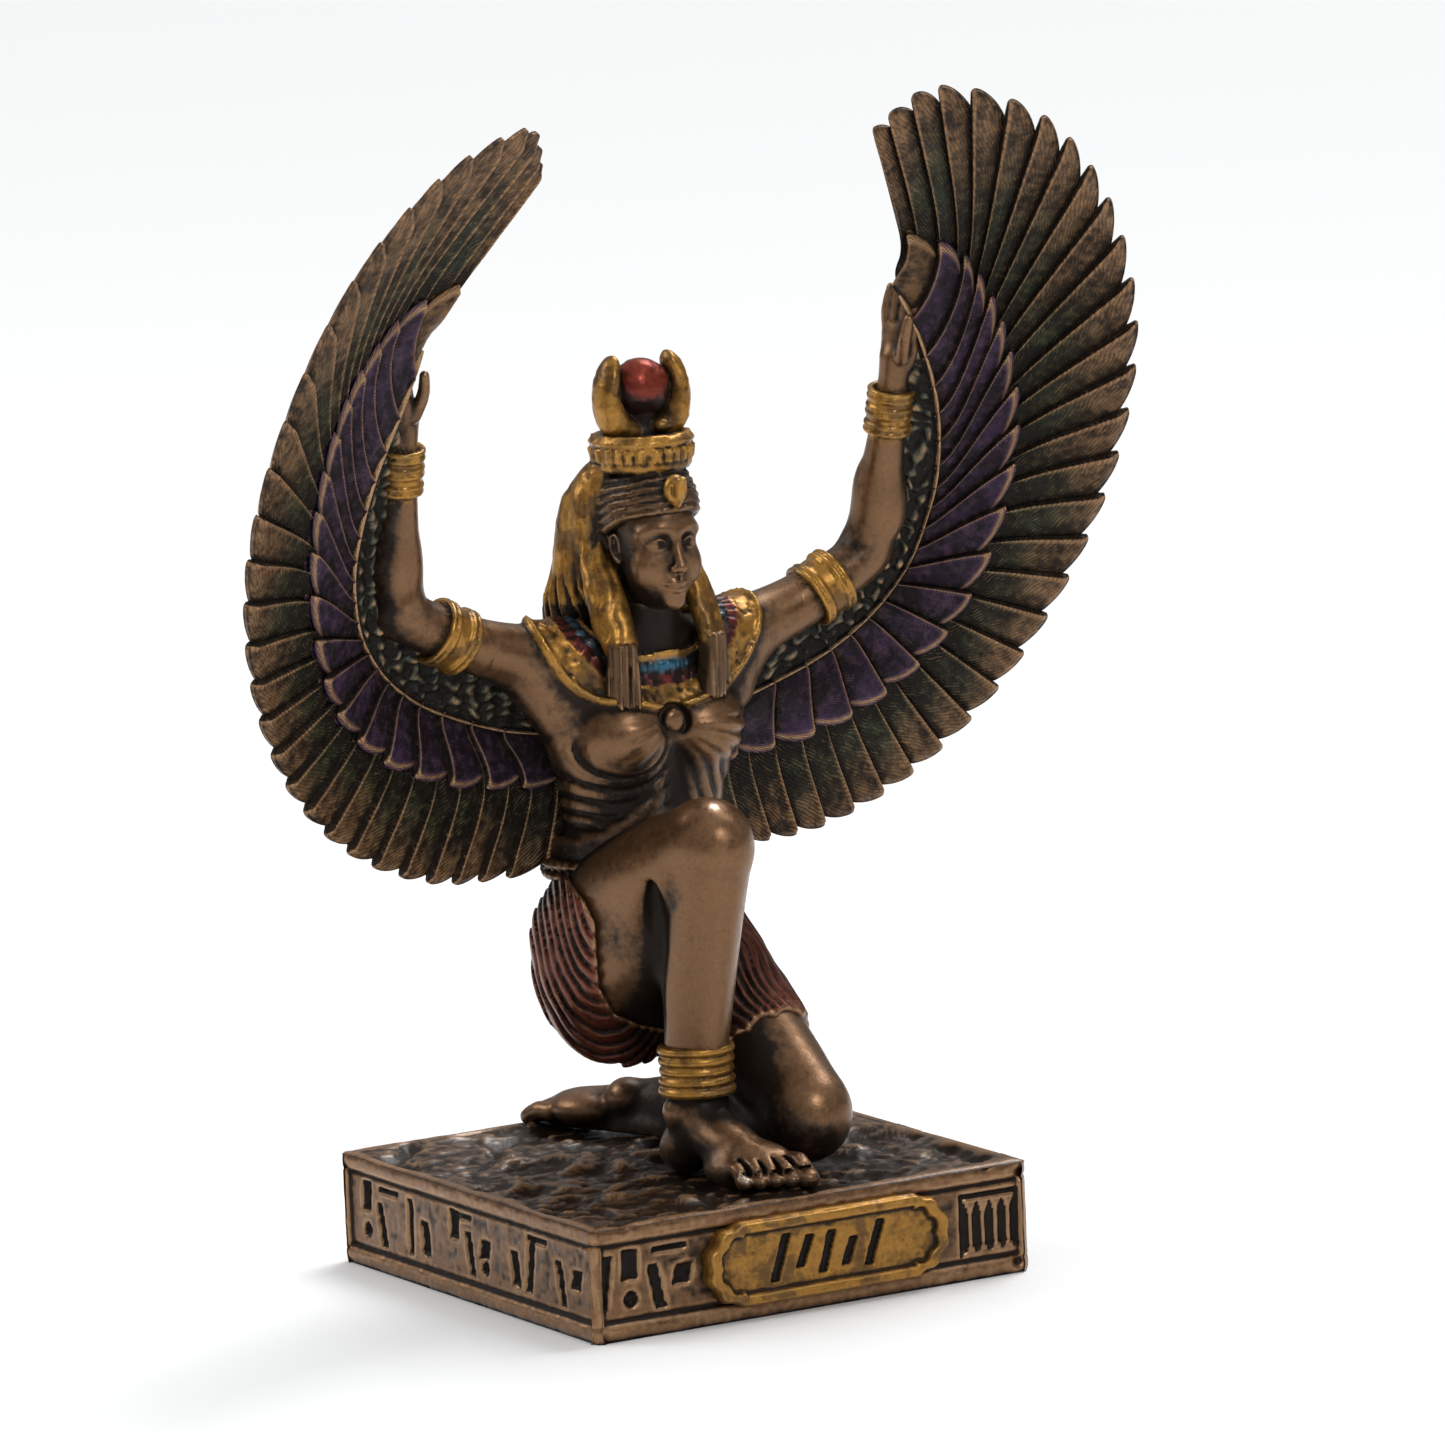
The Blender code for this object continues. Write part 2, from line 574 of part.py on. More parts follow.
def build():
    clear_scene()
    parts = new_collection("isis_statue")
    cutters = new_collection("cutters")
    arms = mirror_join("arms", arm_pieces(cutters), cutters)
    figure = skin("figure", body_pieces(cutters) + head_pieces(cutters) + [arms], SKIN_TRIANGLES, cutters)
    wings = wing_pieces(cutters)
    half = cut(wings[0], wings[1:], "UNION", cutters)
    flip = half.modifiers.new("flip", "MIRROR")
    flip.use_axis = (True, False, False)
    flip.use_mirror_merge = False
    half = applied(half, cutters)
    statue = plinth(parts, cutters)
    statue = cut(statue, [figure, half], "UNION", parts, "MANIFOLD")
    keep_main_body(statue)
    statue.name = "isis_statue"
    statue.data.name = "isis_statue"
    statue.data.materials.clear()
    statue.data.materials.append(material("bronze_resin", (0.21, 0.14, 0.10), 0.42, 0.55))
    bpy.data.collections.remove(cutters)


build()
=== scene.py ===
import json
import math

import bpy
import numpy as np
from mathutils import Matrix, Vector

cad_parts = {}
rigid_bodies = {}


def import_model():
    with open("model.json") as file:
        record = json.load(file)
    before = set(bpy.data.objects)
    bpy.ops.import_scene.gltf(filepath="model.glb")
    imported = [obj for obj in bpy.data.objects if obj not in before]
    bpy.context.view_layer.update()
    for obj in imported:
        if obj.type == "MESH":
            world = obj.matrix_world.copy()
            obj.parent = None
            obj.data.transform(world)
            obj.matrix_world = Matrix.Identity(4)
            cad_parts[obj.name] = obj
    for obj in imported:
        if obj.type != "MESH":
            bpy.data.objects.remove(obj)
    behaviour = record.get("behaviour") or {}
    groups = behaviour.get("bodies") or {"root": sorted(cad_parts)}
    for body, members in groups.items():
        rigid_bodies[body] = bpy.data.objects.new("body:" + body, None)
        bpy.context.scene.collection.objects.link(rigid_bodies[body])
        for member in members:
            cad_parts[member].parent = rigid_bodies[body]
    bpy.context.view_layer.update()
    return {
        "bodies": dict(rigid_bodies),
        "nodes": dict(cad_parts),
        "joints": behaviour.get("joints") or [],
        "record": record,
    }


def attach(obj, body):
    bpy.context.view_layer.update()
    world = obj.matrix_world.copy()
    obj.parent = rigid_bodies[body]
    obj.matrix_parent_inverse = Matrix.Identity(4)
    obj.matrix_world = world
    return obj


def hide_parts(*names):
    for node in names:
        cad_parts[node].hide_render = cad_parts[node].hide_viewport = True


# The statue is modelled in millimetres and scaled to metres when its meshes are made
MM = 0.001


# Clay: a block of distances to a surface, carved and built up, then turned into a mesh

class Clay:
    """Signed distances on a grid, negative inside, with a paint number for every point."""

    def __init__(self, low, high, cell):
        self.low = np.asarray(low, np.float32)
        self.cell = cell
        count = np.ceil((np.asarray(high) - self.low) / cell).astype(int) + 1
        self.far = np.full(count, 4.0, np.float32)
        self.paint = np.zeros(count, np.uint8)
        self.axes = [self.low[i] + cell * np.arange(count[i], dtype=np.float32) for i in range(3)]

    def window(self, low, high):
        """Slices and open coordinate grids of a box in the block."""
        cuts = []
        grids = []
        for i in range(3):
            a = int(np.clip((low[i] - self.low[i]) / self.cell, 0, len(self.axes[i]) - 1))
            b = int(np.clip((high[i] - self.low[i]) / self.cell + 2, a + 1, len(self.axes[i])))
            cuts.append(slice(a, b))
            shape = [1, 1, 1]
            shape[i] = -1
            grids.append(self.axes[i][a:b].reshape(shape))
        return tuple(cuts), grids

    def add(self, form, blend=0.3, paint=None, cover=0.0):
        """Melts a form on. paint colours what the form covers, cover reaching a little past its surface."""
        distance, low, high = form
        cuts, grids = self.window(np.asarray(low) - blend - 1.2, np.asarray(high) + blend + 1.2)
        new = distance(*grids).astype(np.float32)
        old = self.far[cuts]
        if paint is not None:
            self.paint[cuts] = np.where(new < old + cover, paint, self.paint[cuts])
        self.far[cuts] = join_smooth(old, new, blend)

    def carve(self, form, blend=0.2, paint=None):
        distance, low, high = form
        cuts, grids = self.window(np.asarray(low) - blend - 0.5, np.asarray(high) + blend + 0.5)
        new = distance(*grids).astype(np.float32)
        old = self.far[cuts]
        if paint is not None:
            self.paint[cuts] = np.where(new < self.cell, paint, self.paint[cuts])
        self.far[cuts] = -join_smooth(-old, new, blend)

    def relief(self, low, high, height):
        """Raises the surface in a box by height(x, y, z, distance)."""
        cuts, grids = self.window(low, high)
        self.far[cuts] -= height(*grids, self.far[cuts]).astype(np.float32)

    def even(self):
        """Makes the values true distances near the surface, so that reliefs stand equally high all over."""
        steep = np.sqrt(sum(g * g for g in np.gradient(self.far, self.cell)))
        self.far /= np.clip(steep, 0.45, 3.0)

    def soften(self, reach):
        """Melts small steps away."""
        self.far = blurred(np.clip(self.far, -4, 4), reach)

    def recolour(self, low, high, paint, where):
        cuts, grids = self.window(low, high)
        self.paint[cuts] = np.where(where(*grids), paint, self.paint[cuts])


def join_smooth(a, b, blend):
    if blend <= 0:
        return np.minimum(a, b)
    h = np.maximum(blend - np.abs(a - b), 0) / blend
    return np.minimum(a, b) - h * h * blend * 0.25


def blurred(values, reach):
    """Box blur along each axis."""
    out = values
    for axis in range(3):
        size = out.shape[axis]
        wide = min(2 * reach + 1, size - 1)
        padded = np.concatenate([np.take(out, [0] * (reach + 1), axis=axis), out,
                                 np.take(out, [size - 1] * reach, axis=axis)], axis=axis)
        total = np.cumsum(padded, axis=axis, dtype=np.float32)
        upper = np.take(total, np.arange(2 * reach + 1, 2 * reach + 1 + size), axis=axis)
        lower = np.take(total, np.arange(0, size), axis=axis)
        out = (upper - lower) / (2 * reach + 1)
    return out


def sample(values, places):
    """Values at fractional grid places, read between the eight nearest points."""
    top = np.array(values.shape) - 2
    base = np.clip(places.astype(int), 0, top)
    t = np.clip(places - base, 0, 1)
    out = 0
    for dx in (0, 1):
        for dy in (0, 1):
            for dz in (0, 1):
                weight = (np.abs(1 - dx - t[:, 0]) * np.abs(1 - dy - t[:, 1]) * np.abs(1 - dz - t[:, 2]))
                out = out + weight * values[base[:, 0] + dx, base[:, 1] + dy, base[:, 2] + dz]
    return out


def skinned(clay):
    """Surface of a clay block as points and four-sided faces, one point in every cell that it crosses."""
    far = clay.far
    inside = far < 0
    corners = [(i, j, k) for i in (0, 1) for j in (0, 1) for k in (0, 1)]
    nx, ny, nz = (n - 1 for n in far.shape)
    count = np.zeros((nx, ny, nz), np.uint8)
    for i, j, k in corners:
        count += inside[i:i + nx, j:j + ny, k:k + nz]
    cells = np.argwhere((count > 0) & (count < 8))
    index = np.full((nx, ny, nz), -1, np.int64)
    index[cells[:, 0], cells[:, 1], cells[:, 2]] = np.arange(len(cells))
    value = {c: far[cells[:, 0] + c[0], cells[:, 1] + c[1], cells[:, 2] + c[2]] for c in corners}
    total = np.zeros((len(cells), 3))
    hits = np.zeros(len(cells))
    for c in corners:
        for axis in range(3):
            if c[axis]:
                continue
            e = tuple(1 if i == axis else c[i] for i in range(3))
            a, b = value[c], value[e]
            cross = (a < 0) != (b < 0)
            t = np.where(cross, a / np.where(cross, a - b, 1), 0)
            for i in range(3):
                total[:, i] += cross * (c[i] + (t if i == axis else 0))
            hits += cross
    places = cells + total / hits[:, None]
    faces = []
    for axis in range(3):
        u, v = (axis + 1) % 3, (axis + 2) % 3
        a = np.moveaxis(inside, axis, 0)
        change = np.moveaxis(a[1:] != a[:-1], 0, axis)
        spots = np.argwhere(change)
        keep = (spots[:, u] > 0) & (spots[:, v] > 0)
        keep &= (spots[:, u] < index.shape[u]) & (spots[:, v] < index.shape[v])
        spots = spots[keep]
        first = inside[spots[:, 0], spots[:, 1], spots[:, 2]]
        ring = []
        for du, dv in ((1, 1), (0, 1), (0, 0), (1, 0)):
            near = spots.copy()
            near[:, u] -= du
            near[:, v] -= dv
            ring.append(index[near[:, 0], near[:, 1], near[:, 2]])
        quad = np.stack(ring, 1)
        quad[~first] = quad[~first][:, ::-1]
        faces.append(quad)
    faces = np.concatenate(faces)
    faces = faces[(faces >= 0).all(1)]
    return places, faces


def make_mesh(name, points, faces, attributes, material):
    """Object from points in millimetres, with one value or colour per point for each attribute."""
    mesh = bpy.data.meshes.new(name)
    points = np.asarray(points, np.float32) * MM
    faces = np.asarray(faces, np.int32)
    mesh.vertices.add(len(points))
    mesh.vertices.foreach_set("co", points.ravel())
    side = faces.shape[1]
    mesh.loops.add(faces.size)
    mesh.loops.foreach_set("vertex_index", faces.ravel())
    mesh.polygons.add(len(faces))
    mesh.polygons.foreach_set("loop_start", np.arange(0, faces.size, side, dtype=np.int32))
    mesh.polygons.foreach_set("loop_total", np.full(len(faces), side, np.int32))
    mesh.update(calc_edges=True)
    mesh.validate()
    for key, values in attributes.items():
        values = np.asarray(values, np.float32)
        kind = "FLOAT_COLOR" if values.ndim == 2 else "FLOAT"
        layer = mesh.attributes.new(key, kind, "POINT")
        if values.ndim == 2:
            values = np.concatenate([values, np.ones((len(values), 1), np.float32)], 1)
            layer.data.foreach_set("color", values.ravel())
        else:
            layer.data.foreach_set("value", values.ravel())
    mesh.shade_smooth()
    made = bpy.data.objects.new(name, mesh)
    bpy.context.scene.collection.objects.link(made)
    made.data.materials.append(material)
    print(name, len(faces) * 2, "triangles")
    return made


def grid_faces(rows, columns):
    """Four-sided faces between neighbouring points of a grid."""
    index = np.arange(rows * columns).reshape(rows, columns)
    return np.stack([index[:-1, :-1], index[1:, :-1], index[1:, 1:], index[:-1, 1:]], -1).reshape(-1, 4)


# Forms for the clay, each a distance function with the box that holds it

def turned(turn):
    """Rotation matrix from degrees about X, Y and Z."""
    out = np.eye(3)
    for axis, angle in zip("XYZ", turn):
        out = out @ np.array(Matrix.Rotation(math.radians(angle), 3, axis))
    return out


def egg(centre, radii, turn=(0, 0, 0)):
    """Squashed and turned sphere."""
    spin = turned(turn)
    radii = np.asarray(radii, float)

    def distance(x, y, z):
        p = [x - centre[0], y - centre[1], z - centre[2]]
        if any(turn):
            p = [sum(spin[j][i] * p[j] for j in range(3)) for i in range(3)]
        near = np.sqrt(sum((p[i] / radii[i]) ** 2 for i in range(3)))
        steep = np.sqrt(sum((p[i] / radii[i] ** 2) ** 2 for i in range(3)))
        return near * (near - 1) / np.maximum(steep, 1e-6)

    reach = np.abs(spin) @ radii
    return distance, np.asarray(centre) - reach, np.asarray(centre) + reach


def path_point(knots, where):
    """Points on a smooth curve through knots, for shares of the way from 0 to 1."""
    knots = np.asarray(knots, float)
    where = np.clip(np.asarray(where, float), 0, 1)
    spans = len(knots) - 1
    k = np.minimum((where * spans).astype(int), spans - 1)
    t = (where * spans - k)[..., None]
    before = knots[np.maximum(k - 1, 0)]
    start, end = knots[k], knots[k + 1]
    after = knots[np.minimum(k + 2, spans)]
    return 0.5 * (2 * start + (end - before) * t + (2 * before - 5 * start + 4 * end - after) * t * t
                  + (3 * start - before - 3 * end + after) * t ** 3)


def limb(knots, steps=14, flat=None):
    """Round limb along a smooth path of (x, y, z, radius), flattened along a direction by a share."""
    line = path_point(knots, np.linspace(0, 1, steps))
    if flat is not None:
        direction = np.asarray(flat[0], float)
        direction = direction / np.linalg.norm(direction)
        stretch = 1 / flat[1] - 1
    spots = line[:, :3]
    if flat is not None:
        spots = spots + np.outer(spots @ direction, direction) * stretch

    def distance(x, y, z):
        if flat is not None:
            push = (x * direction[0] + y * direction[1] + z * direction[2]) * stretch
            x, y, z = x + push * direction[0], y + push * direction[1], z + push * direction[2]
        out = None
        for (ax, ay, az), (bx, by, bz), r, s in zip(spots, spots[1:], line[:, 3], line[1:, 3]):
            wx, wy, wz = bx - ax, by - ay, bz - az
            length = wx * wx + wy * wy + wz * wz
            t = np.clip(((x - ax) * wx + (y - ay) * wy + (z - az) * wz) / max(length, 1e-9), 0, 1)
            near = np.sqrt((x - ax - t * wx) ** 2 + (y - ay - t * wy) ** 2 + (z - az - t * wz) ** 2)
            near = near - (r + (s - r) * t)
            out = near if out is None else np.minimum(out, near)
        return out * (flat[1] if flat is not None else 1)

    wide = line[:, 3].max()
    return distance, line[:, :3].min(0) - wide, line[:, :3].max(0) + wide


def mirrored(side, knots):
    """A path's knots on one side of the middle plane, 1 for the left or -1 for the right."""
    return [(side * x, y, z, r) for x, y, z, r in knots]


def stack(sections, power=2.0, swell=None):
    """Upright form through level ovals (z, x, y, half width, half depth), with swell(angle, z) added."""
    rows = np.asarray(sections, float)
    order = np.argsort(rows[:, 0])
    rows = rows[order]

    def distance(x, y, z):
        level = np.clip(np.interp(z, rows[:, 0], np.arange(len(rows))), 0, len(rows) - 1)
        row = path_point(rows[:, 1:], level / (len(rows) - 1))
        px = (x - row[..., 0]) / row[..., 2]
        py = (y - row[..., 1]) / row[..., 3]
        if power == 2.0:
            near = np.sqrt(px * px + py * py)
        else:
            near = (np.abs(px) ** power + np.abs(py) ** power) ** (1 / power)
        size = np.minimum(row[..., 2], row[..., 3])
        grow = swell(np.arctan2(y - row[..., 1], x - row[..., 0]), z) if swell else 0
        side = (near - 1) * size - grow
        ends = np.maximum(rows[0, 0] - z, z - rows[-1, 0])
        return np.maximum(side, ends)

    wide = rows[:, 3].max() + 0.8
    deep = rows[:, 4].max() + 0.8
    low = np.array([rows[:, 1].min() - wide, rows[:, 2].min() - deep, rows[0, 0]])
    high = np.array([rows[:, 1].max() + wide, rows[:, 2].max() + deep, rows[-1, 0]])
    return distance, low, high


def ring(centre, radius, thick, axis, tall=None):
    """Ring about an axis, its section an oval that is thick across and tall along the axis."""
    axis = np.asarray(axis, float)
    axis = axis / np.linalg.norm(axis)
    tall = thick if tall is None else tall

    def distance(x, y, z):
        px, py, pz = x - centre[0], y - centre[1], z - centre[2]
        along = px * axis[0] + py * axis[1] + pz * axis[2]
        out = np.sqrt(np.maximum(px * px + py * py + pz * pz - along * along, 0))
        near = np.sqrt(((out - radius) / thick) ** 2 + (along / tall) ** 2)
        return (near - 1) * min(thick, tall)

    reach = radius + max(thick, tall)
    return distance, np.asarray(centre) - reach, np.asarray(centre) + reach


# Paint numbers of the clay
SKIN = 1
GOLD = 2
SKIRT = 3
BLUE = 4
RED = 5
DISC = 6
ROCK = 7
DARK = 8
HAIR = 9
CHIP = 10

PAINTS = {
    SKIN: (0.195, 0.104, 0.050),
    GOLD: (0.370, 0.186, 0.034),
    SKIRT: (0.125, 0.029, 0.012),
    BLUE: (0.025, 0.135, 0.220),
    RED: (0.150, 0.018, 0.018),
    DISC: (0.210, 0.030, 0.016),
    ROCK: (0.078, 0.040, 0.019),
    DARK: (0.014, 0.010, 0.008),
    HAIR: (0.105, 0.056, 0.025),
    CHIP: (0.600, 0.520, 0.430),
}


def finish_clay(name, clay, material, near=0.45, wide=2.2, keep=None):
    """Mesh of a clay block with its paint, its fine and broad hollows, and its edges."""
    for axis in range(3):
        ends = np.moveaxis(clay.far, axis, 0)
        ends[:2] = np.maximum(ends[:2], clay.cell)
        ends[-2:] = np.maximum(ends[-2:], clay.cell)
    places, faces = skinned(clay)
    if keep is not None:
        points = clay.low + places * clay.cell
        good = keep(points)
        faces = faces[good[faces].all(1)]
        used = np.unique(faces)
        order = np.full(len(places), -1)
        order[used] = np.arange(len(used))
        places, faces = places[used], order[faces]
    points = clay.low + places * clay.cell
    capped = np.clip(clay.far, -3 * wide, 3 * wide)
    fine = sample(blurred(capped, max(1, round(near / clay.cell))), places)
    broad = sample(blurred(capped, max(2, round(wide / clay.cell))), places)
    colour = np.zeros((len(points), 3))
    total = np.zeros(len(points))
    gold = np.zeros(len(points))
    for shift in ((0, 0, 0), (1, 0, 0), (-1, 0, 0), (0, 1, 0), (0, -1, 0), (0, 0, 1), (0, 0, -1)):
        spot = np.clip(np.rint(places + np.array(shift) * 0.6).astype(int), 0, np.array(clay.paint.shape) - 1)
        number = clay.paint[spot[:, 0], spot[:, 1], spot[:, 2]]
        for key, paint in PAINTS.items():
            colour += np.outer(number == key, paint)
        total += number > 0
        gold += number == GOLD
    colour /= np.maximum(total, 1)[:, None]
    colour[total == 0] = PAINTS[SKIN]
    gold = gold / np.maximum(total, 1)
    attributes = {"paint": colour, "edge": fine / near, "bulk": broad / wide, "gilt": gold}
    return make_mesh(name, points, faces, attributes, material)


def wave(value):
    return 0.5 + 0.5 * np.cos(2 * math.pi * value)


def crease(value, sharp=2.0):
    """Rounded ridges with narrow grooves between them, from 0 in a groove to 1 on a ridge."""
    swing = np.sin(math.pi * value)
    return 1 - (1 - (np.sqrt(swing * swing + 0.03) - 0.17) / 0.845) ** sharp


def grain(x, y, z, size, seed):
    """Soft random values from -1 to 1 with lumps of a size."""
    low = [np.floor(np.asarray(v) / size).astype(np.int64) for v in (x, y, z)]
    part = [np.asarray(v) / size - b for v, b in zip((x, y, z), low)]
    part = [t * t * (3 - 2 * t) for t in part]
    out = 0
    for i in (0, 1):
        for j in (0, 1):
            for k in (0, 1):
                mix = (low[0] + i) * 73856093 ^ (low[1] + j) * 19349663
                mix = mix ^ (low[2] + k) * 83492791 ^ seed * 2654435
                mix = (mix ^ (mix >> 13)) * 1274126177 & 0x7FFFFFFF
                mix = (mix ^ (mix >> 16)) & 0xFFFF
                weight = np.abs(1 - i - part[0]) * np.abs(1 - j - part[1]) * np.abs(1 - k - part[2])
                out = out + weight * (mix / 32767.5 - 1)
    return out


def hump(value, middle, wide):
    """1 at the middle, falling away on both sides over a width."""
    return np.exp(-((value - middle) / wide) ** 2)


def fade(value, start, end):
    """0 before start and 1 after end, smooth between."""
    t = np.clip((value - start) / (end - start), 0, 1)
    return t * t * (3 - 2 * t)


# The figure's trunk, from the hips to the neck: (z, x, y, half width, half depth)
TORSO = [(23.0, 0.0, 5.2, 7.0, 6.2), (27.0, 0.0, 4.6, 6.8, 5.5), (30.0, -0.2, 3.9, 6.4, 4.8),
         (34.0, -0.2, 3.2, 6.2, 4.3), (38.0, 0.0, 3.0, 7.1, 4.4), (41.5, 0.0, 3.0, 8.3, 4.5),
         (44.5, 0.0, 3.2, 8.8, 4.2), (47.0, 0.0, 3.3, 8.2, 3.4), (48.6, 0.0, 2.8, 5.6, 3.0),
         (49.8, 0.0, 2.0, 3.0, 2.5), (51.2, 0.0, 1.4, 1.95, 2.0), (53.5, 0.0, 1.0, 1.9, 1.9)]
KNOT = (0.0, -2.0, 42.3)
COLLAR_CENTRE = (0.0, 1.5, 50.5)
COLLAR_RADII = (9.8, 7.2, 8.25)
BELT_BEADS = 44
BELT_CENTRE = (-0.5, 3.9, 30.6)
BELT_RADII = (7.1, 5.4)


def collar_reach(x, y, z):
    """Share of the way from the neck, 0, to the collar's outer edge, 1."""
    return np.sqrt(sum(((p - c) / r) ** 2 for p, c, r in zip((x, y, z), COLLAR_CENTRE, COLLAR_RADII)))


def shawl_relief(x, y, z, far):
    """Folds that fan out from the knot, over both breasts, and run on round the sides."""
    side = np.sign(x - KNOT[0])
    across = np.abs(x - KNOT[0]) + 0.45 * np.maximum(y - KNOT[1], 0)
    down = KNOT[2] - z
    sag = 1.7 * np.sin(np.clip(across / 9.0, 0, 1) * math.pi)
    wander = 0.30 * grain(x, y, z, 3.2, 71)
    angle = np.degrees(np.arctan2(down - 0.2 + sag * (side < 0), across + 0.4))
    ringed = np.hypot(x + 4.0, (z - 41.4) * 1.1)
    left = crease(ringed / 1.12 + wander, 1.2) + 0.35 * crease(ringed / 0.56 + 1.5 * wander, 1.2)
    fan = crease(angle / 13.0 + wander, 1.2) * fade(across, 0.8, 2.0) * (1 - fade(across, 3.6, 5.6))
    right = crease(angle / 12.0 + wander, 1.3)
    strength = fade(across, 0.5, 2.2) * (1 - fade(angle, 70, 86))
    strength = strength * (0.4 + 0.6 * fade(across, 2.0, 5.0)) * fade(angle, -10, 6)
    below = fade(ringed, 2.3, 3.3) * fade(41.9 - z, 0.0, 1.4) * fade(-x, -0.3, 0.8)
    strength = np.where(side < 0, below, strength)
    depth = 0.75 + 0.35 * grain(x, y, z, 3.0, 72)
    back = 1 - fade(y, 4.0, 6.5)
    height = np.where(side < 0, 0.34 * left, 0.38 * right) - 0.16
    gathers = 0.16 * fan * (side < 0) * (1 - below) * fade(angle, -16, 0) * (1 - fade(angle, 74, 90))
    return (height * strength + gathers) * back * depth


def trunk(material):
    """Trunk with the shawl, the collar, the knot and the belt."""
    clay = Clay((-16.0, -5.0, 28.8), (16.0, 9.0, 51.4), 0.205)
    clay.add(stack(TORSO), 0, SKIN)
    for side in (-1, 1):
        clay.add(egg((side * 3.6, -0.6, 41.3), (2.9, 2.3, 2.7), (0, 0, side * 12)), 1.6, SKIN)
        shoulder = mirrored(side, [(6.5, 3.2, 46.9, 2.9), (10.5, 3.4, 47.8, 2.45), (14.0, 3.2, 49.0, 2.15),
                                   (17.5, 3.0, 50.6, 2.0)])
        clay.add(limb(shoulder, 10), 1.4, SKIN)
        clay.add(limb(mirrored(side, [(7.4, 3.0, 44.0, 2.2), (9.2, 3.6, 46.0, 2.0)]), 4), 1.4, SKIN)
    clay.add(limb([(0, 1.5, 47.0, 2.4), (0, 1.2, 49.5, 1.95), (0, 0.9, 52.0, 1.9)], 6), 1.2, SKIN)
    clay.carve(egg((0.1, -1.9, 37.3), (1.1, 0.8, 2.4)), 1.0)
    clay.soften(2)
    clay.even()
    clay.relief((-9.5, -5, 30.8), (9.5, 7, 43.6), shawl_relief)
    # gathered hem of the shawl above the belt
    for k in range(3):
        low = 31.9 + 0.8 * k
        clay.add(limb([(-6.9, 5.0, low - 0.4, 0.26), (-6.2, 1.6, low - 0.1, 0.3),
                       (-4.6, -0.4, low + 0.8, 0.3),
                       (-2.6, -1.1, low + 2.3, 0.24), (-1.2, -1.2, low + 3.9, 0.15)], 14), 0.9, SKIN)
    # collar over the shoulders, from the gold edge in to the beads and the neck ring
    cuts, (x, y, z) = clay.window((-12, -5, 41), (12, 9, 51.4))
    reach = collar_reach(x, y, z)
    body = clay.far[cuts]
    around = np.degrees(np.arctan2(x - COLLAR_CENTRE[0], -(y - COLLAR_CENTRE[1])))
    crackle = grain(x, y, z, 0.7, 5) + 0.5 * grain(x, y, z, 0.35, 6)
    cracks = fade(np.abs(crackle), 0.12, 0.0)
    rise = 0.40 + 0.28 * hump(reach, 0.985, 0.02) + 0.20 * hump(reach, 0.80, 0.014)
    rise = rise + np.where((reach > 0.60) & (reach < 0.675), wave(around / 7.0) * 0.18 + 0.04, 0)
    rise = rise + np.where((reach > 0.69) & (reach < 0.78), wave(around / 4.5) * 0.22, 0)
    rise = rise + np.where((reach > 0.82) & (reach < 0.965), 0.10 * crackle - 0.18 * cracks, 0)
    rise = rise + 0.26 * hump(reach, 0.555, 0.02)
    sheet = np.maximum(np.maximum(body - rise, (reach - 1.02) * 6.0), (0.525 - reach) * 6.0)
    number = np.where((reach > 0.588) & (reach <= 0.682), BLUE, GOLD)
    number = np.where((reach > 0.682) & (reach < 0.79), RED, number)
    clay.paint[cuts] = np.where((sheet < body) & (sheet < 0.3), number, clay.paint[cuts])
    clay.far[cuts] = join_smooth(body, sheet, 0.1)
    # knot with a ring round a boss
    clay.carve(ring(KNOT, 1.15, 0.26, (0.1, -1, 0.25), 0.5), 0.1)
    clay.add(egg((KNOT[0], KNOT[1] + 0.1, KNOT[2]), (0.9, 0.42, 0.9)), 0.05, SKIN)
    clay.carve(egg((KNOT[0], KNOT[1] - 0.42, KNOT[2]), (0.36, 0.16, 0.36)), 0.1)
    # belt of small beads
    for k in range(BELT_BEADS):
        angle = 2 * math.pi * k / BELT_BEADS
        for lift in (0.0, 0.85):
            spot = (BELT_CENTRE[0] + BELT_RADII[0] * math.cos(angle),
                    BELT_CENTRE[1] + BELT_RADII[1] * math.sin(angle), BELT_CENTRE[2] + lift)
            clay.add(egg(spot, (0.5, 0.5, 0.43)), 0.12, HAIR)
    return finish_clay("trunk", clay, material)


def photo_left(x, y):
    """Distance to the left as the front quarter view shows it."""
    return 0.509 * y - 0.861 * x


THIGH_START = (3.4, 4.6, 23.6)
THIGH_END = (5.9, -9.4, 12.5)
THIGH_REACH = 5.7
HEM_SHARE = 0.64
SKIRT_EDGE = 0.12
SKIRT_TOP = 30.9
CALF = (-2.0, -7.4)
CALF_REACH = 3.8


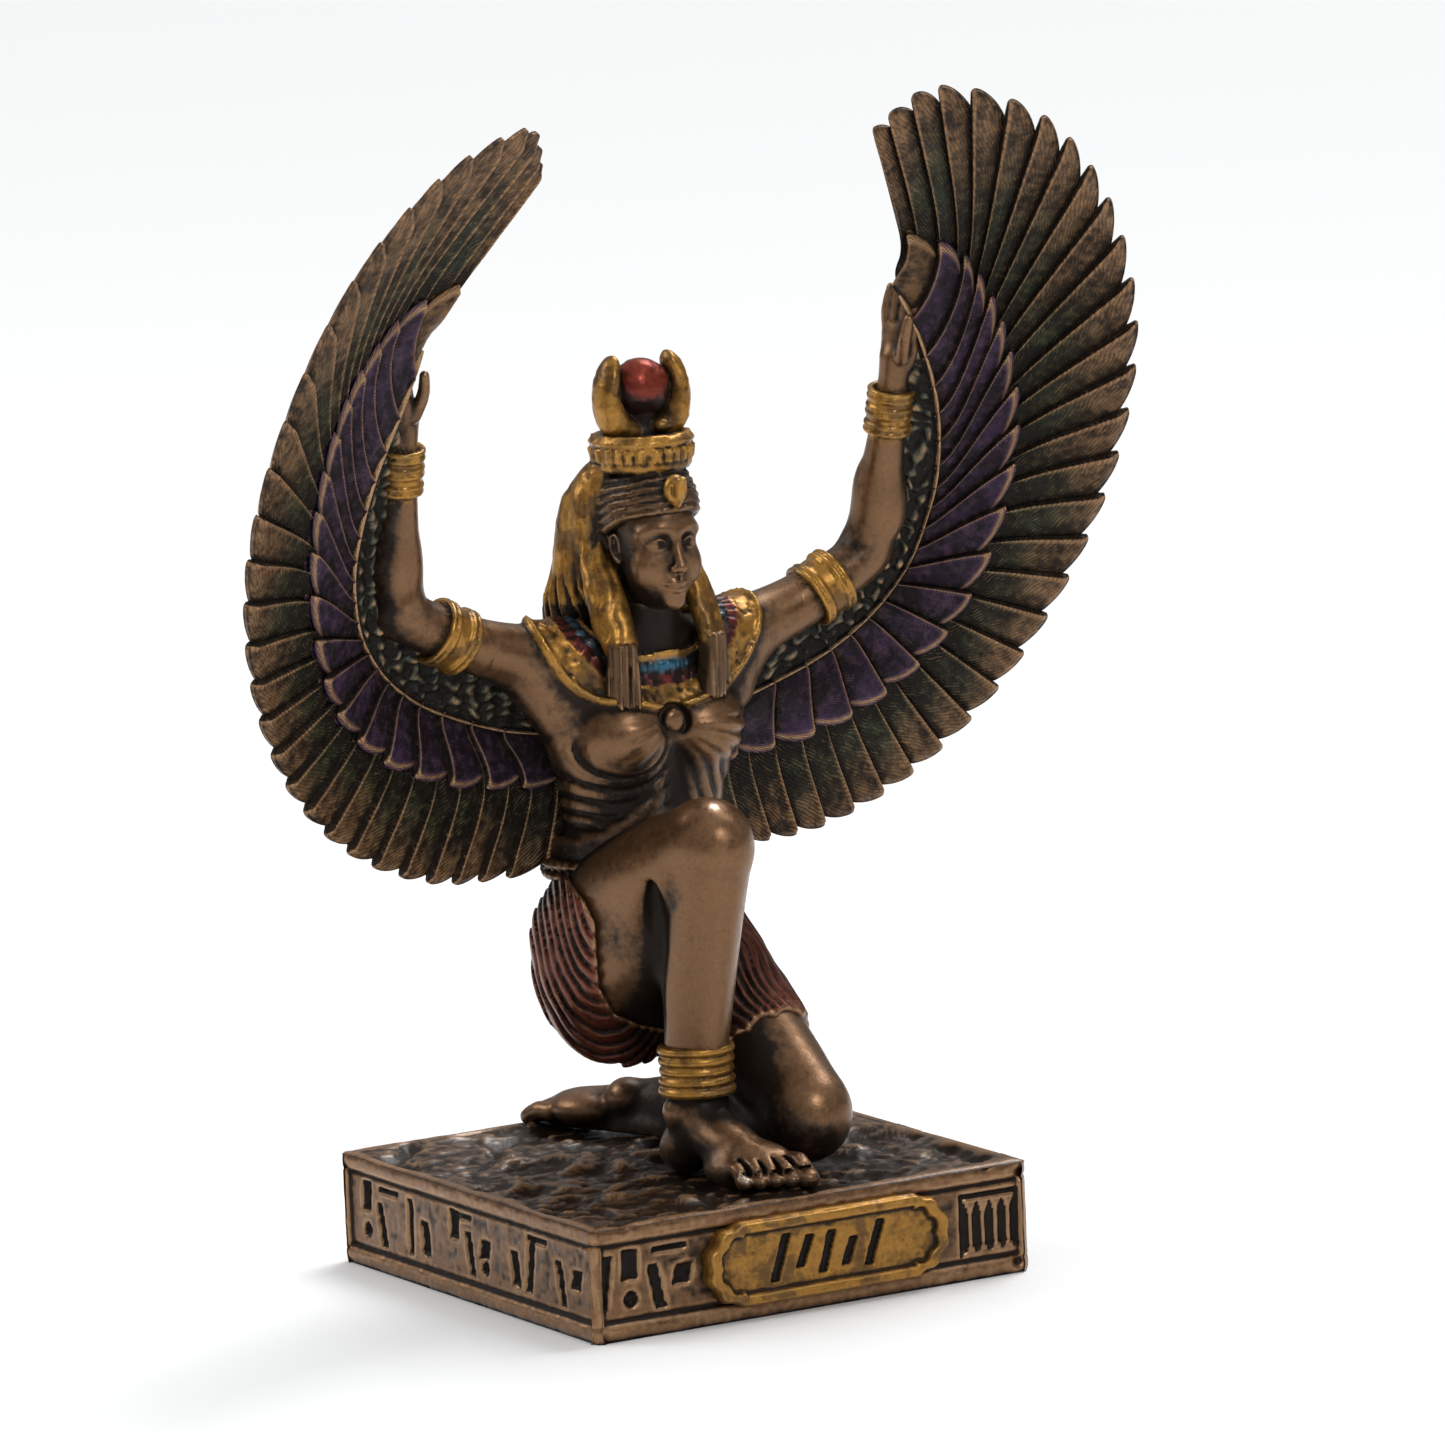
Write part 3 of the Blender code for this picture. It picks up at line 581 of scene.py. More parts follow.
def skirt_mask(x, y, z):
    """Above 0 where the skirt lies: round the hips and down to its hem on both thighs."""
    left = photo_left(x, y)
    hem = np.interp(z, (15.0, 17.6, 18.4, 19.2, 20.4, 22.7, 25.0, 28.0, 29.5, 31.0, 32.0),
                    (-9.0, -3.0, 0.3, 2.5, 4.4, 5.4, 5.5, 5.5, 6.2, 7.6, 9.0))
    raised = left - hem
    axis = np.subtract(THIGH_END, THIGH_START)
    length = np.linalg.norm(axis)
    axis = axis / length
    px, py, pz = x - THIGH_START[0], y - THIGH_START[1], z - THIGH_START[2]
    along = px * axis[0] + py * axis[1] + pz * axis[2]
    turn = np.arctan2(px - along * axis[0], pz - along * axis[2])
    scallops = 0.4 * np.abs(np.sin(turn * 4.0))
    kneeling = HEM_SHARE * length - scallops - along
    off = np.sqrt((px - along * axis[0]) ** 2 + (py - along * axis[1]) ** 2 + (pz - along * axis[2]) ** 2)
    kneeling = np.minimum(kneeling, np.maximum(THIGH_REACH - off, y + 0.5))
    right = fade(x, 0.2, 1.4)
    back = fade(y, 6.5, 8.0)
    mask = raised * (1 - right) + kneeling * right
    return mask * (1 - back) + 2.0 * back, along, turn, left


def skirt_relief(x, y, z, far):
    """Pleats: nested curves at the side, lengthwise ones on the kneeling thigh and fanned ones behind."""
    mask, along, turn, left = skirt_mask(x, y, z)
    nested = np.sqrt(((left - 5.3) / 5.4) ** 2 + ((30.6 - z) / 14.5) ** 2)
    side = crease(nested * 11.0 + 0.45 * grain(x, y, z, 3.2, 3) + 0.14 * grain(x, y, z, 1.2, 33), 1.5)
    thigh = crease(turn * 4.4 + 0.3 * np.sin(along * 0.9) + 0.4 * grain(x, y, z, 2.5, 4), 1.4)
    behind = crease(np.arctan2(x + 1.2, y - 3.5) * 5.5 + 0.05 * (z - 20) + 0.2 * grain(x, y, z, 2.5, 8), 1.4)
    right = fade(x, -0.2, 1.6)
    back = fade(y, 7.0, 10.0)
    pleats = (side * (1 - right) + thigh * right) * (1 - back) + behind * back
    edge = hump(mask, 0.35, 0.3) * (1 - right) * (1 - back)
    fringe = crease(turn * 9.0, 1.2) * fade(1.3 - mask, 0.0, 0.5) * right * (1 - back)
    cloth = fade(mask, -SKIRT_EDGE, SKIRT_EDGE)
    deep = 0.36 + 0.14 * grain(x, y, z, 3.0, 34)
    height = 0.2 + deep * pleats * (1 - 0.5 * fringe - 0.6 * edge) + 0.14 * fringe + 0.2 * edge
    return cloth * height - 0.5 * (1 - cloth)


def hips(clay):
    """Hips, thighs and knees under the skirt."""
    clay.add(stack([(22.0, 0, 5.2, 6.9, 6.2), (24.0, 0.0, 5.0, 6.9, 6.1), (27.0, 0.0, 4.6, 6.6, 5.4),
                    (30.0, -0.2, 3.9, 6.0, 4.5), (32.0, -0.2, 3.6, 5.4, 4.0)]), 0, SKIN)
    clay.add(egg((-1.3, 5.1, 22.4), (6.4, 6.1, 6.9)), 1.5, SKIN)
    clay.add(limb([(-4.0, 4.6, 25.5, 4.35), (-4.0, 1, 28.2, 4.5), (-3.3, -4.5, 31.4, 4.1),
                   (-2.0, -8.8, 33.9, 3.3)], 20),
             1.2, SKIN)
    clay.add(limb([(-4.0, 3, 23.5, 4.2), (-3.4, -1.2, 25.0, 3.9), (-2.8, -4.2, 29.0, 3.4)], 14), 1.6, SKIN)
    clay.add(limb([(3.4, 4.6, 23.6, 5.0), (4.6, -1, 18.9, 4.4), (5.6, -6.4, 14.9, 3.6),
                   (5.8, -9.0, 12.8, 3.25)], 20),
             1.4, SKIN)
    clay.add(egg((5.8, -9.6, 12.3), (3.15, 3.2, 3.5)), 1.2, SKIN)
    clay.soften(3)


def skirt(material):
    """Pleated skirt over the hips and the upper ends of both thighs."""
    clay = Clay((-10.6, -9.5, 10.2), (10.8, 14.6, 31.6), 0.18)
    hips(clay)
    clay.even()
    clay.relief((-10.6, -10, 10.2), (10.8, 14.6, 31.6), skirt_relief)
    clay.paint[:] = SKIRT
    return finish_clay("skirt", clay, material,
                       keep=lambda p: (skirt_mask(*p.T)[0] > -SKIRT_EDGE) & (p[:, 2] < SKIRT_TOP))


def lower(material):
    """Thighs, knees and lower limbs, and the folded limb's foot."""
    clay = Clay((-9.6, -13.8, 8.3), (10.8, 20.2, 38.2), 0.235)
    hips(clay)
    clay.add(limb([(5.4, -8.5, 11.4, 2.7), (5.2, 1, 11.4, 2.8), (3.8, 8, 11.0, 2.0), (2, 12, 10.5, 1.6),
                   (-0.3, 16, 9.9, 1.2), (-1.7, 17.6, 9.6, 0.8)], 24), 0.6, SKIN)
    # rock that the folded limb lies on
    clay.add(limb([(4.2, 3.0, 9.3, 1.7), (2.4, 9.0, 9.1, 1.5), (0.4, 13.4, 8.8, 1.2),
                   (-1.0, 16.2, 8.6, 0.9)], 16), 0.7, ROCK)
    # raised lower limb: knee, cap, shin bone and calf
    clay.add(egg((-1.8, -9.6, 34.1), (3.1, 3.05, 3.2)), 1.4, SKIN)
    clay.add(egg((-1.8, -11.3, 34.0), (1.6, 1.3, 1.9)), 1.2, SKIN)
    clay.add(limb([(-1.8, -9.8, 33.4, 3.0), (-1.9, -9.0, 30.5, 2.95), (-2, -7.9, 26, 2.85),
                   (-2, -7.0, 21.5, 2.65), (-2, -6.5, 18.0, 2.35), (-2.1, -6.2, 13.5, 1.9)], 30), 0.5, SKIN)
    clay.add(egg((-2.2, -6.4, 25.0), (2.5, 2.4, 5.4), (-8, 0, 0)), 0.8, SKIN)
    clay.add(limb([(-1.9, -10.9, 30.5, 1.0), (-2, -9.6, 25, 1.0), (-2, -8.3, 19, 0.9)], 8), 1.4, SKIN)
    clay.carve(limb([(-5.5, -7.4, 31.4, 0.45), (-5.3, -7.0, 29.0, 0.75), (-5.0, -6.6, 26.0, 0.8),
                     (-4.8, -6.2, 23.4, 0.5), (-4.6, -5.6, 20.0, 0.3)], 16), 0.7)
    clay.soften(1)
    # foot of the folded limb, sole up, with its toes
    clay.add(egg((-0.2, 13.9, 10.2), (2.3, 3.0, 1.45), (0, 0, 22)), 0.7, SKIN)
    clay.add(egg((1.6, 10.6, 11.3), (1.5, 1.6, 1.5)), 0.8, SKIN)
    for k in range(5):
        start = (-2.3 + 0.85 * k, 15.6 + 0.22 * k, 9.9)
        end = (-3.0 + 0.85 * k, 17.8 + 0.12 * k, 9.3)
        middle = (0.5 * (start[0] + end[0]), 0.5 * (start[1] + end[1]), 9.9)
        clay.add(limb([(*start, 0.74), (*middle, 0.72), (*end, 0.66)], 5), 0.16, SKIN)

    clay.recolour((-2.6, -11.8, 36.4), (-1.6, -10.4, 38.0), CHIP,
                  lambda x, y, z: np.hypot(x + 2.15, y + 11.1) + 0.2 * grain(x, y, z, 0.4, 18) < 0.34)

    def seen(p):
        """Leaves out what the skirt hides, but not the calf."""
        hidden = skirt_mask(*p.T)[0] > 0.5
        calf = np.hypot(p[:, 0] - CALF[0], p[:, 1] - CALF[1]) < CALF_REACH
        return ~(hidden & ~calf & (p[:, 2] > 16) & (p[:, 2] < 29.8) & (p[:, 1] < 11))

    return finish_clay("lower_body", clay, material, keep=seen)


def front_foot(material):
    """Planted foot with its toes and nails, and five rings round the ankle."""
    clay = Clay((-5.6, -17.6, 8.2), (4.4, -2.6, 19.6), 0.155)
    clay.add(limb([(-2, -6.5, 19.6, 2.05), (-2.1, -6.2, 14.5, 1.95), (-2.3, -6.0, 11.2, 2.0)], 6), 0, SKIN)
    clay.add(egg((-2.4, -5.0, 10.3), (1.95, 2.2, 1.95)), 0.8, SKIN)
    clay.add(limb([(-2.1, -6.6, 13.4, 1.95), (-1.8, -8.2, 11.9, 2.0), (-1.4, -10.2, 10.9, 2.1),
                   (-1.1, -12.0, 10.2, 1.9), (-0.8, -13.0, 9.9, 1.6)], 20), 0.9, SKIN)
    clay.add(egg((-2.4, -11.6, 9.6), (1.6, 2.6, 1.3), (0, 0, 10)), 0.9, SKIN)
    clay.add(egg((0.5, -12.8, 9.9), (1.5, 2.1, 1.5)), 0.9, SKIN)
    for side, spot in ((-1, (-3.9, -6.0, 13.4)), (1, (-0.3, -6.4, 13.9))):
        clay.add(egg(spot, (0.75, 0.95, 0.95)), 0.8, SKIN)
    clay.soften(1)
    for k in range(5):
        size = (0.60, 0.62, 0.64, 0.68, 0.92)[k]
        base = (-3.1 + 1.06 * k, -12.4 - 0.28 * k, 9.75)
        tip = (-3.05 + 1.12 * k, -14.4 - 0.42 * k, 9.25)
        middle = (0.5 * (base[0] + tip[0]), 0.5 * (base[1] + tip[1]) - 0.2, 10.1)
        clay.add(limb([(*base, size), (*middle, size), (*tip, 0.92 * size)], 7), 0.32, SKIN)
        clay.add(egg((tip[0], tip[1] - 0.15, tip[2] - 0.05), (size, size * 1.1, size * 0.85)), 0.2, SKIN)
        nail = (tip[0], tip[1] - 0.1, tip[2] + 0.78 * size)
        clay.carve(egg(nail, (0.62 * size, 0.75 * size, 0.22)), 0.12)
        clay.add(egg((nail[0], nail[1], nail[2] - 0.12), (0.5 * size, 0.62 * size, 0.16)), 0.05, SKIN)
        if k:
            clay.carve(egg((base[0] - 0.56, base[1] - 0.9, base[2] + 0.35), (0.13, 1.5, 0.6), (0, 0, 6)), 0.3)
    clay.relief((-5.6, -17.6, 8.2), (4.4, -2.6, 14.5), lambda x, y, z, far: 0.05 * grain(x, y, z, 0.9, 9))
    clay.recolour((-3.9, -16.2, 8.6), (-2.6, -14.4, 10.4), CHIP,
                  lambda x, y, z: np.hypot(x + 3.2, z - 9.6) + 0.2 * grain(x, y, z, 0.4, 19) < 0.36)
    for k in range(5):
        anklet = ring((-2.0, -6.45, 15.0 + 0.78 * k), 2.42 + 0.06 * abs(k - 2), 0.42, (0, 0.03, 1), 0.40)
        clay.add(anklet, 0.04, GOLD, 0.08)
    return finish_clay("front_foot", clay, material, near=0.3, wide=1.5)


ARM = [(13.6, 3.2, 48.8, 2.15), (17.5, 3.0, 50.6, 2.0), (20.0, 2.9, 52.2, 1.95), (20.9, 2.2, 55.2, 1.9),
       (21.2, 1.3, 58.8, 1.65), (21.3, 0.3, 62.6, 1.32), (21.4, -0.5, 65.6, 1.2), (21.5, -0.9, 67.4, 1.3)]
ARM_BAND = (16.4, 3.02, 50.0)
WRIST_BAND = (21.3, 0.15, 63.4)
HAND_TURN = 18


def arm(material, side):
    """Raised arm with its bands and the open hand."""
    clay = Clay((13.2, -4.9, 45.6), (24.2, 6.4, 75.2), 0.165)
    clay.add(limb(ARM, 26), 0, SKIN)
    clay.add(egg((20.6, 3.3, 52.4), (1.9, 1.7, 1.9)), 1.0, SKIN)
    clay.add(egg((21.3, 1.9, 56.6), (1.95, 1.9, 3.2), (-14, 0, 0)), 0.9, SKIN)
    clay.add(egg((21.0, 4.0, 51.5), (0.8, 0.7, 0.8)), 0.8, SKIN)
    # band with four rings on the upper arm, and one with six at the wrist
    bands = ((ARM_BAND, (2.6, -0.15, 1.35), 2.93, 2.1, 0.32, 1.25, 2.4, (-1.25, -0.75, 0.75, 1.25)),
             (WRIST_BAND, (0.08, -0.8, 3.2), 3.3, 1.42, 0.3, 1.5, 1.62, (-1.55, -1.05, -0.15, 0.35, 1.1, 1.6)))
    for place, lie, stride, radius, thick, tall, outer, steps in bands:
        clay.add(ring(place, radius, thick, lie, tall), 0.1, GOLD, 0.1)
        for step in steps:
            spot = tuple(c + step * d / stride for c, d in zip(place, lie))
            clay.add(ring(spot, outer, 0.24, lie), 0.05, GOLD, 0.1)
    clay.add(egg((21.7, -1.2, 68.7), (0.95, 1.7, 2.2), (0, 0, HAND_TURN)), 0.6, SKIN)
    broad = np.array([-math.sin(math.radians(HAND_TURN)), math.cos(math.radians(HAND_TURN)), 0])
    for k in range(4):
        spread = -1.28 + 0.82 * k
        tall = (72.9, 73.7, 73.9, 73.3)[3 - k]
        root = np.array([21.7, -1.3, 69.4]) + broad * spread
        knuckle = np.array([21.6, -1.6, 71.2]) + broad * spread * 1.12
        tip = np.array([21.75, -2.1, tall]) + broad * spread * 1.16
        clay.add(limb([(*root, 0.50), (*knuckle, 0.46), (*tip, 0.34)], 7), 0.16, SKIN)
    thumb = [(21.2, -2.2, 67.6, 0.55), (20.9, -3.2, 69.2, 0.48), (21.0, -3.7, 70.7, 0.38)]
    clay.add(limb(thumb, 6), 0.3, SKIN)
    made = finish_clay(side_name("arm", side), clay, material, near=0.35, wide=1.6)
    if side < 0:
        flip(made)
    return made


def flip(piece):
    """Mirrors a piece across the middle plane and turns its faces back out."""
    data = piece.data
    spots = np.zeros(len(data.vertices) * 3, np.float32)
    data.vertices.foreach_get("co", spots)
    spots[0::3] *= -1
    data.vertices.foreach_set("co", spots)
    data.flip_normals()
    data.update()


def clipped(form, plane):
    """A form cut off where plane(x, y, z) is above 0."""
    distance, low, high = form
    return (lambda x, y, z: np.maximum(distance(x, y, z), plane(x, y, z))), low, high


def tassel(side):
    """Flat bundle of strands that hangs in front of a shoulder, with its top, stepped ends and grooves."""
    centre = (side * 4.0, -1.45)
    turn = math.radians(22 * side)

    def distance(x, y, z):
        px, py = x - centre[0], y - centre[1] - 0.05 * (46.3 - z)
        u = px * math.cos(turn) + py * math.sin(turn)
        w = py * math.cos(turn) - px * math.sin(turn)
        outer = fade(u * side, 0.55, 0.62)
        foot = 43.6 + 0.9 * outer + 0.15 * np.sin(u * 9)
        half = 1.0 + 0.09 * (49 - z)
        thick = 0.58 + 0.34 * crease(u / 0.46, 1.3) - 0.2 * outer
        pu, pw = np.abs(u) - half + 0.45, np.abs(w) - thick + 0.45
        rounded = np.hypot(np.maximum(pu, 0), np.maximum(pw, 0)) + np.minimum(np.maximum(pu, pw), 0) - 0.45
        return np.maximum(rounded * 0.85, np.maximum(z - 48.5, foot - z))

    return distance, np.array((centre[0] - 3, centre[1] - 2.4, 43)), np.array((centre[0] + 3,
                                                                               centre[1] + 2.4, 49.4))


def face(material):
    """Face on even proportions: eyes half way up, five eye widths across, features in even thirds."""
    clay = Clay((-4.1, -5.4, 47.2), (4.1, 1.9, 59.6), 0.092)
    clay.add(limb([(0, 1.5, 47.5, 2.1), (0, 1.2, 49.5, 1.92), (0, 0.8, 52.4, 1.85)], 8), 0, SKIN)
    clay.add(egg((0, -0.1, 56.4), (3.0, 3.45, 4.2)), 0.4, SKIN)
    clay.add(egg((0, -0.8, 53.5), (2.5, 2.45, 2.6)), 0.9, SKIN)
    clay.add(egg((0, -2.75, 51.5), (0.9, 0.65, 0.75)), 0.7, SKIN)
    for side in (-1, 1):
        clay.add(egg((side * 1.65, -1.85, 54.0), (1.2, 1.1, 1.4)), 0.9, SKIN)
        ridge = mirrored(side, [(0.4, -3.1, 56.9, 0.35), (1.3, -2.95, 57.1, 0.38), (2.3, -2.2, 56.7, 0.32)])
        clay.add(limb(ridge, 8), 0.7, SKIN)
        clay.carve(egg((side * 1.3, -3.66, 55.95), (1.02, 0.66, 0.6), (0, 0, -side * 14)), 0.55)
    clay.add(limb([(0, -3.1, 56.7, 0.36), (0, -3.5, 55.5, 0.36), (0, -3.92, 54.3, 0.45)], 12), 0.45, SKIN)
    clay.add(egg((0, -4.0, 54.05), (0.46, 0.44, 0.4)), 0.3, SKIN)
    clay.add(egg((0, -2.75, 52.85), (1.2, 0.85, 1.0)), 0.6, SKIN)
    clay.soften(2)
    for side in (-1, 1):
        # eyeball between two lids, and the brow above
        clay.add(egg((side * 1.28, -2.58, 55.86), (0.78, 0.52, 0.5), (0, 0, -side * 12)), 0.08, SKIN)
        upper = mirrored(side, [(0.60, -3.00, 55.72, 0.07), (0.9, -3.16, 56.1, 0.1), (1.3, -3.16, 56.25, 0.12),
                                (1.75, -2.93, 56.12, 0.11), (2.12, -2.55, 55.82, 0.08)])
        under = mirrored(side, [(0.62, -2.98, 55.70, 0.06), (0.95, -3.06, 55.52, 0.08), (1.35, -3.06, 55.44, 0.09),
                                (1.75, -2.88, 55.52, 0.08), (2.1, -2.56, 55.8, 0.06)])
        brow = mirrored(side, [(0.5, -3.32, 56.75, 0.1), (1.1, -3.24, 57.05, 0.13), (1.8, -2.85, 57.05, 0.12),
                               (2.5, -2.15, 56.6, 0.07)])
        clay.add(limb(upper, 16), 0.09, SKIN)
        clay.add(limb(under, 16), 0.1, SKIN)
        clay.add(limb(brow, 14), 0.22, SKIN)
        clay.carve(egg((side * 1.27, -3.13, 55.86), (0.16, 0.12, 0.16)), 0.08)
        clay.add(egg((side * 0.44, -3.68, 53.98), (0.32, 0.42, 0.3)), 0.18, SKIN)
        clay.carve(egg((side * 0.23, -3.9, 53.72), (0.13, 0.2, 0.1)), 0.08)
    clay.add(limb([(-1.1, -2.95, 52.72, 0.06), (-0.42, -3.42, 52.92, 0.2), (0, -3.5, 52.87, 0.18),
                   (0.42, -3.42, 52.92, 0.2), (1.1, -2.95, 52.72, 0.06)], 20), 0.2, SKIN)
    lip = [(-0.95, -2.97, 52.58, 0.06), (0, -3.46, 52.38, 0.25), (0.95, -2.97, 52.58, 0.06)]
    clay.add(limb(lip, 16), 0.2, SKIN)
    line = [(-1.1, -3.15, 52.71, 0.05), (0, -3.76, 52.64, 0.07), (1.1, -3.15, 52.71, 0.05)]
    clay.carve(limb(line, 14), 0.07)
    clay.carve(egg((0, -3.75, 53.35), (0.12, 0.3, 0.25)), 0.2)
    for side in (-1, 1):
        clay.add(egg((side * 2.85, 0.45, 55.5), (0.34, 0.72, 1.0), (12, 0, 0)), 0.2, SKIN)
        ear = mirrored(side, [(3.0, -0.1, 55.2, 0.14), (3.08, -0.15, 56.0, 0.15), (3.12, 0.3, 56.45, 0.16),
                              (3.14, 0.9, 56.2, 0.16), (3.12, 1.0, 55.5, 0.16), (3.06, 0.65, 54.8, 0.18),
                              (2.98, 0.15, 54.5, 0.24)])
        clay.add(limb(ear, 22), 0.08, SKIN)
        clay.carve(egg((side * 3.2, 0.4, 55.6), (0.25, 0.34, 0.56), (10, 0, 0)), 0.12)
        clay.add(egg((side * 2.98, 0.5, 55.9), (0.2, 0.13, 0.36), (20, 0, 0)), 0.12, SKIN)
    return finish_clay("face", clay, material, near=0.26, wide=1.4)


def head(material):
    """Head-dress: wound band, cloth behind, side locks, tassels, crown base and serpent."""
    clay = Clay((-7.9, -5.4, 42.9), (7.9, 9.4, 64.9), 0.178)
    clay.add(egg((0, 0.2, 56.6), (2.7, 3.0, 3.9)), 0, SKIN)

    # head band wound in slanting wraps
    def below(x, y, z):
        return np.interp(y + 0 * z, (-4.0, -1.0, 1.0, 1.8), (58.3, 57.6, 56.6, 54.0)) - z

    clay.add(clipped(egg((0, 0.9, 58.2), (3.75, 4.3, 4.1)), below), 0.1, HAIR, 0.1)

    def wraps(x, y, z, far):
        bottom = np.interp(y, (-4.0, -1.0, 1.0, 3.0), (58.3, 57.6, 56.6, 56.2))
        top = np.interp(y, (-4.0, 2.5), (61.9, 60.4))
        level = (z - bottom) / (top - bottom) + 0.05 * grain(x, y, z, 1.6, 16)
        wound = 0.21 * crease(level * 6.0, 1.3) * fade(level, -0.02, 0.05) * (1 - fade(level, 0.97, 1.02))
        return wound * (1 - fade(y, 1.4, 2.6))

    clay.relief((-5, -5, 56.0), (5, 2.8, 62.0), wraps)
    # cloth that falls behind, gold above, in strands below
    fall = stack([(61.9, -0.1, 2.3, 3.4, 2.6), (61.0, -0.1, 2.9, 3.9, 3.2), (58.8, -0.3, 4.0, 4.75, 3.7),
                  (55.5, -0.3, 5.0, 5.1, 3.6), (52.0, -0.2, 5.7, 5.4, 3.2), (49.0, 0, 6.0, 5.6, 2.8),
                  (45.2, 0, 6.2, 5.5, 2.3)])
    clay.add(clipped(fall, lambda x, y, z: 0.9 - y + 0 * z), 0.15, GOLD, 0.15)

    def strands(x, y, z, far):
        turn = np.arctan2(x, y - 3.5)
        fine = crease(turn * 9 + 0.35 * np.sin(z * 0.8) + 0.3 * grain(x, y, z, 1.4, 12), 1.3)
        lumps = 0.12 * grain(x, y, z * 0.4, 1.3, 13) + 0.07 * grain(x, y, z * 0.6, 0.6, 14)
        low = 1 - fade(z, 51.0, 54.0)
        return (0.34 * fine * low + lumps * (1 - low) + 0.05 * fine * (1 - low)) * fade(y, 0.8, 1.4)

    clay.relief((-7, 0.8, 44), (7, 9.4, 61.5), strands)
    clay.recolour((-7, 2.5, 43), (7, 9.4, 51.5), HAIR, lambda x, y, z: (z < 51 + 0 * x + 0 * y))
    for side in (-1, 1):
        gather = mirrored(side, [(3.7, 3.0, 56.2, 0.9), (3.8, 1.9, 53.8, 1.25), (4.0, 0.3, 51.2, 1.5),
                                 (4.0, -1.2, 48.6, 1.4)])
        clay.add(limb(gather, 14, ((side * 0.45, -0.9, 0.15), 0.55)), 0.25, GOLD, 0.1)

    def locks(x, y, z, far):
        out = np.abs(x)
        folds = 0.13 * crease((out + 0.35 * y) / 1.25 + 0.45 * grain(x, y, z, 1.3, 15), 1.3)
        folds = folds + 0.06 * grain(x, y, z * 0.5, 0.8, 17) - 0.08
        return np.where(out > 2.9, folds, 0) * clay_gold(clay, x, y, z)

    clay.relief((-8, -3.4, 48.8), (8, 2.6, 57.5), locks)
    for side in (-1, 1):
        clay.add(tassel(side), 0.3, HAIR, 0.02)

    # low round crown base with a notched gold band
    def notched(angle, z):
        teeth = wave(angle * 24 / (2 * math.pi) + 0.2 * np.sin(angle * 5)) * 0.26
        band = fade(z, 61.7, 61.9) * (1 - fade(z, 62.8, 63.0))
        lip = hump(z, 63.35, 0.3)
        foot = hump(z, 61.5, 0.2)
        return band * (0.12 + teeth) + 0.3 * lip + 0.2 * foot

    base = stack([(61.1, 0.0, 1.15, 3.5, 3.5), (61.8, 0.0, 1.15, 3.55, 3.55), (63.0, 0.0, 1.2, 3.7, 3.7),
                  (63.9, 0.0, 1.2, 3.7, 3.7)], 2.0, notched)
    clay.add(base, 0.1, GOLD, 0.1)
    clay.relief((-4.6, -3.4, 60.8), (4.6, 5.8, 64.2),
                lambda x, y, z, far: 0.09 * grain(x, y, z, 0.6, 23) + 0.05 * grain(x, y, z, 0.3, 24))
    clay.carve(egg((0.0, 1.2, 64.5), (3.4, 3.4, 1.0)), 0.1, DARK)
    # serpent's head at the brow
    clay.add(egg((-0.1, -3.75, 60.0), (0.95, 0.75, 1.15)), 0.15, GOLD, 0.1)
    neck = [(-0.1, -3.9, 58.9, 0.35), (-0.1, -4.35, 59.6, 0.42), (-0.1, -4.55, 60.4, 0.46)]
    clay.add(limb(neck, 8), 0.12, GOLD, 0.1)
    clay.add(egg((-0.1, -4.75, 60.75), (0.4, 0.45, 0.34)), 0.12, GOLD, 0.1)
    for side in (-1, 1):
        clay.carve(egg((-0.1 + side * 0.52, -4.45, 60.0), (0.12, 0.4, 0.6)), 0.12)
    return finish_clay("head", clay, material, near=0.32, wide=1.7)


def clay_gold(clay, x, y, z):
    """1 where the clay is painted gold."""
    cuts, _ = clay.window((x.min(), y.min(), z.min()),
                          (x.max() - clay.cell, y.max() - clay.cell, z.max() - clay.cell))
    number = clay.paint[cuts]
    shape = np.broadcast_shapes(x.shape, y.shape, z.shape)
    out = np.zeros(shape)
    span = tuple(slice(0, min(a, b)) for a, b in zip(shape, number.shape))
    out[span] = number[span] == GOLD
    return out


def crown(material):
    """Disc between two horns."""
    clay = Clay((-5.4, -1.6, 62.8), (4.6, 4.8, 72.4), 0.125)
    centre = (0.1, 1.05)
    clay.add(egg((centre[0], centre[1], 67.25), (2.25, 1.75, 2.25)), 0, DISC)
    clay.add(ring((centre[0], centre[1] + 0.55, 66.8), 2.15, 0.4, (0, 1, 0), 0.7), 0.05, DARK, 0.02)
    clay.add(limb([(centre[0], centre[1], 62.9, 1.5), (centre[0], centre[1], 64.6, 1.1)], 3), 0.4, DARK, 0.05)
    for side in (-1, 1):
        bend = [(centre[0] + side * x, centre[1] + y, z, r) for x, y, z, r in
                ((0.5, 0, 63.9, 0.9), (1.9, 0, 64.3, 1.25), (2.8, 0, 65.4, 1.5), (3.05, 0, 66.8, 1.45),
                 (2.85, 0, 68.1, 1.3), (2.5, 0, 68.9, 1.0))]
        clay.add(limb(bend, 20, ((1, 0, 0.15 * side), 0.6)), 0.08, GOLD, 0.1)
    clay.add(egg((centre[0] + 0.9, centre[1] - 1.3, 64.4), (0.75, 0.6, 0.55)), 0.2, GOLD, 0.1)
    clay.relief((-5.4, -1.6, 62.8), (4.6, 4.8, 72.4),
                lambda x, y, z, far: 0.06 * grain(x, y, z, 1.0, 21) + 0.03 * grain(x, y, z, 0.4, 22))
    return finish_clay("crown", clay, material, near=0.3, wide=1.5)


# Wings: sheets of feathers between curves that run from the upper tip to the spine

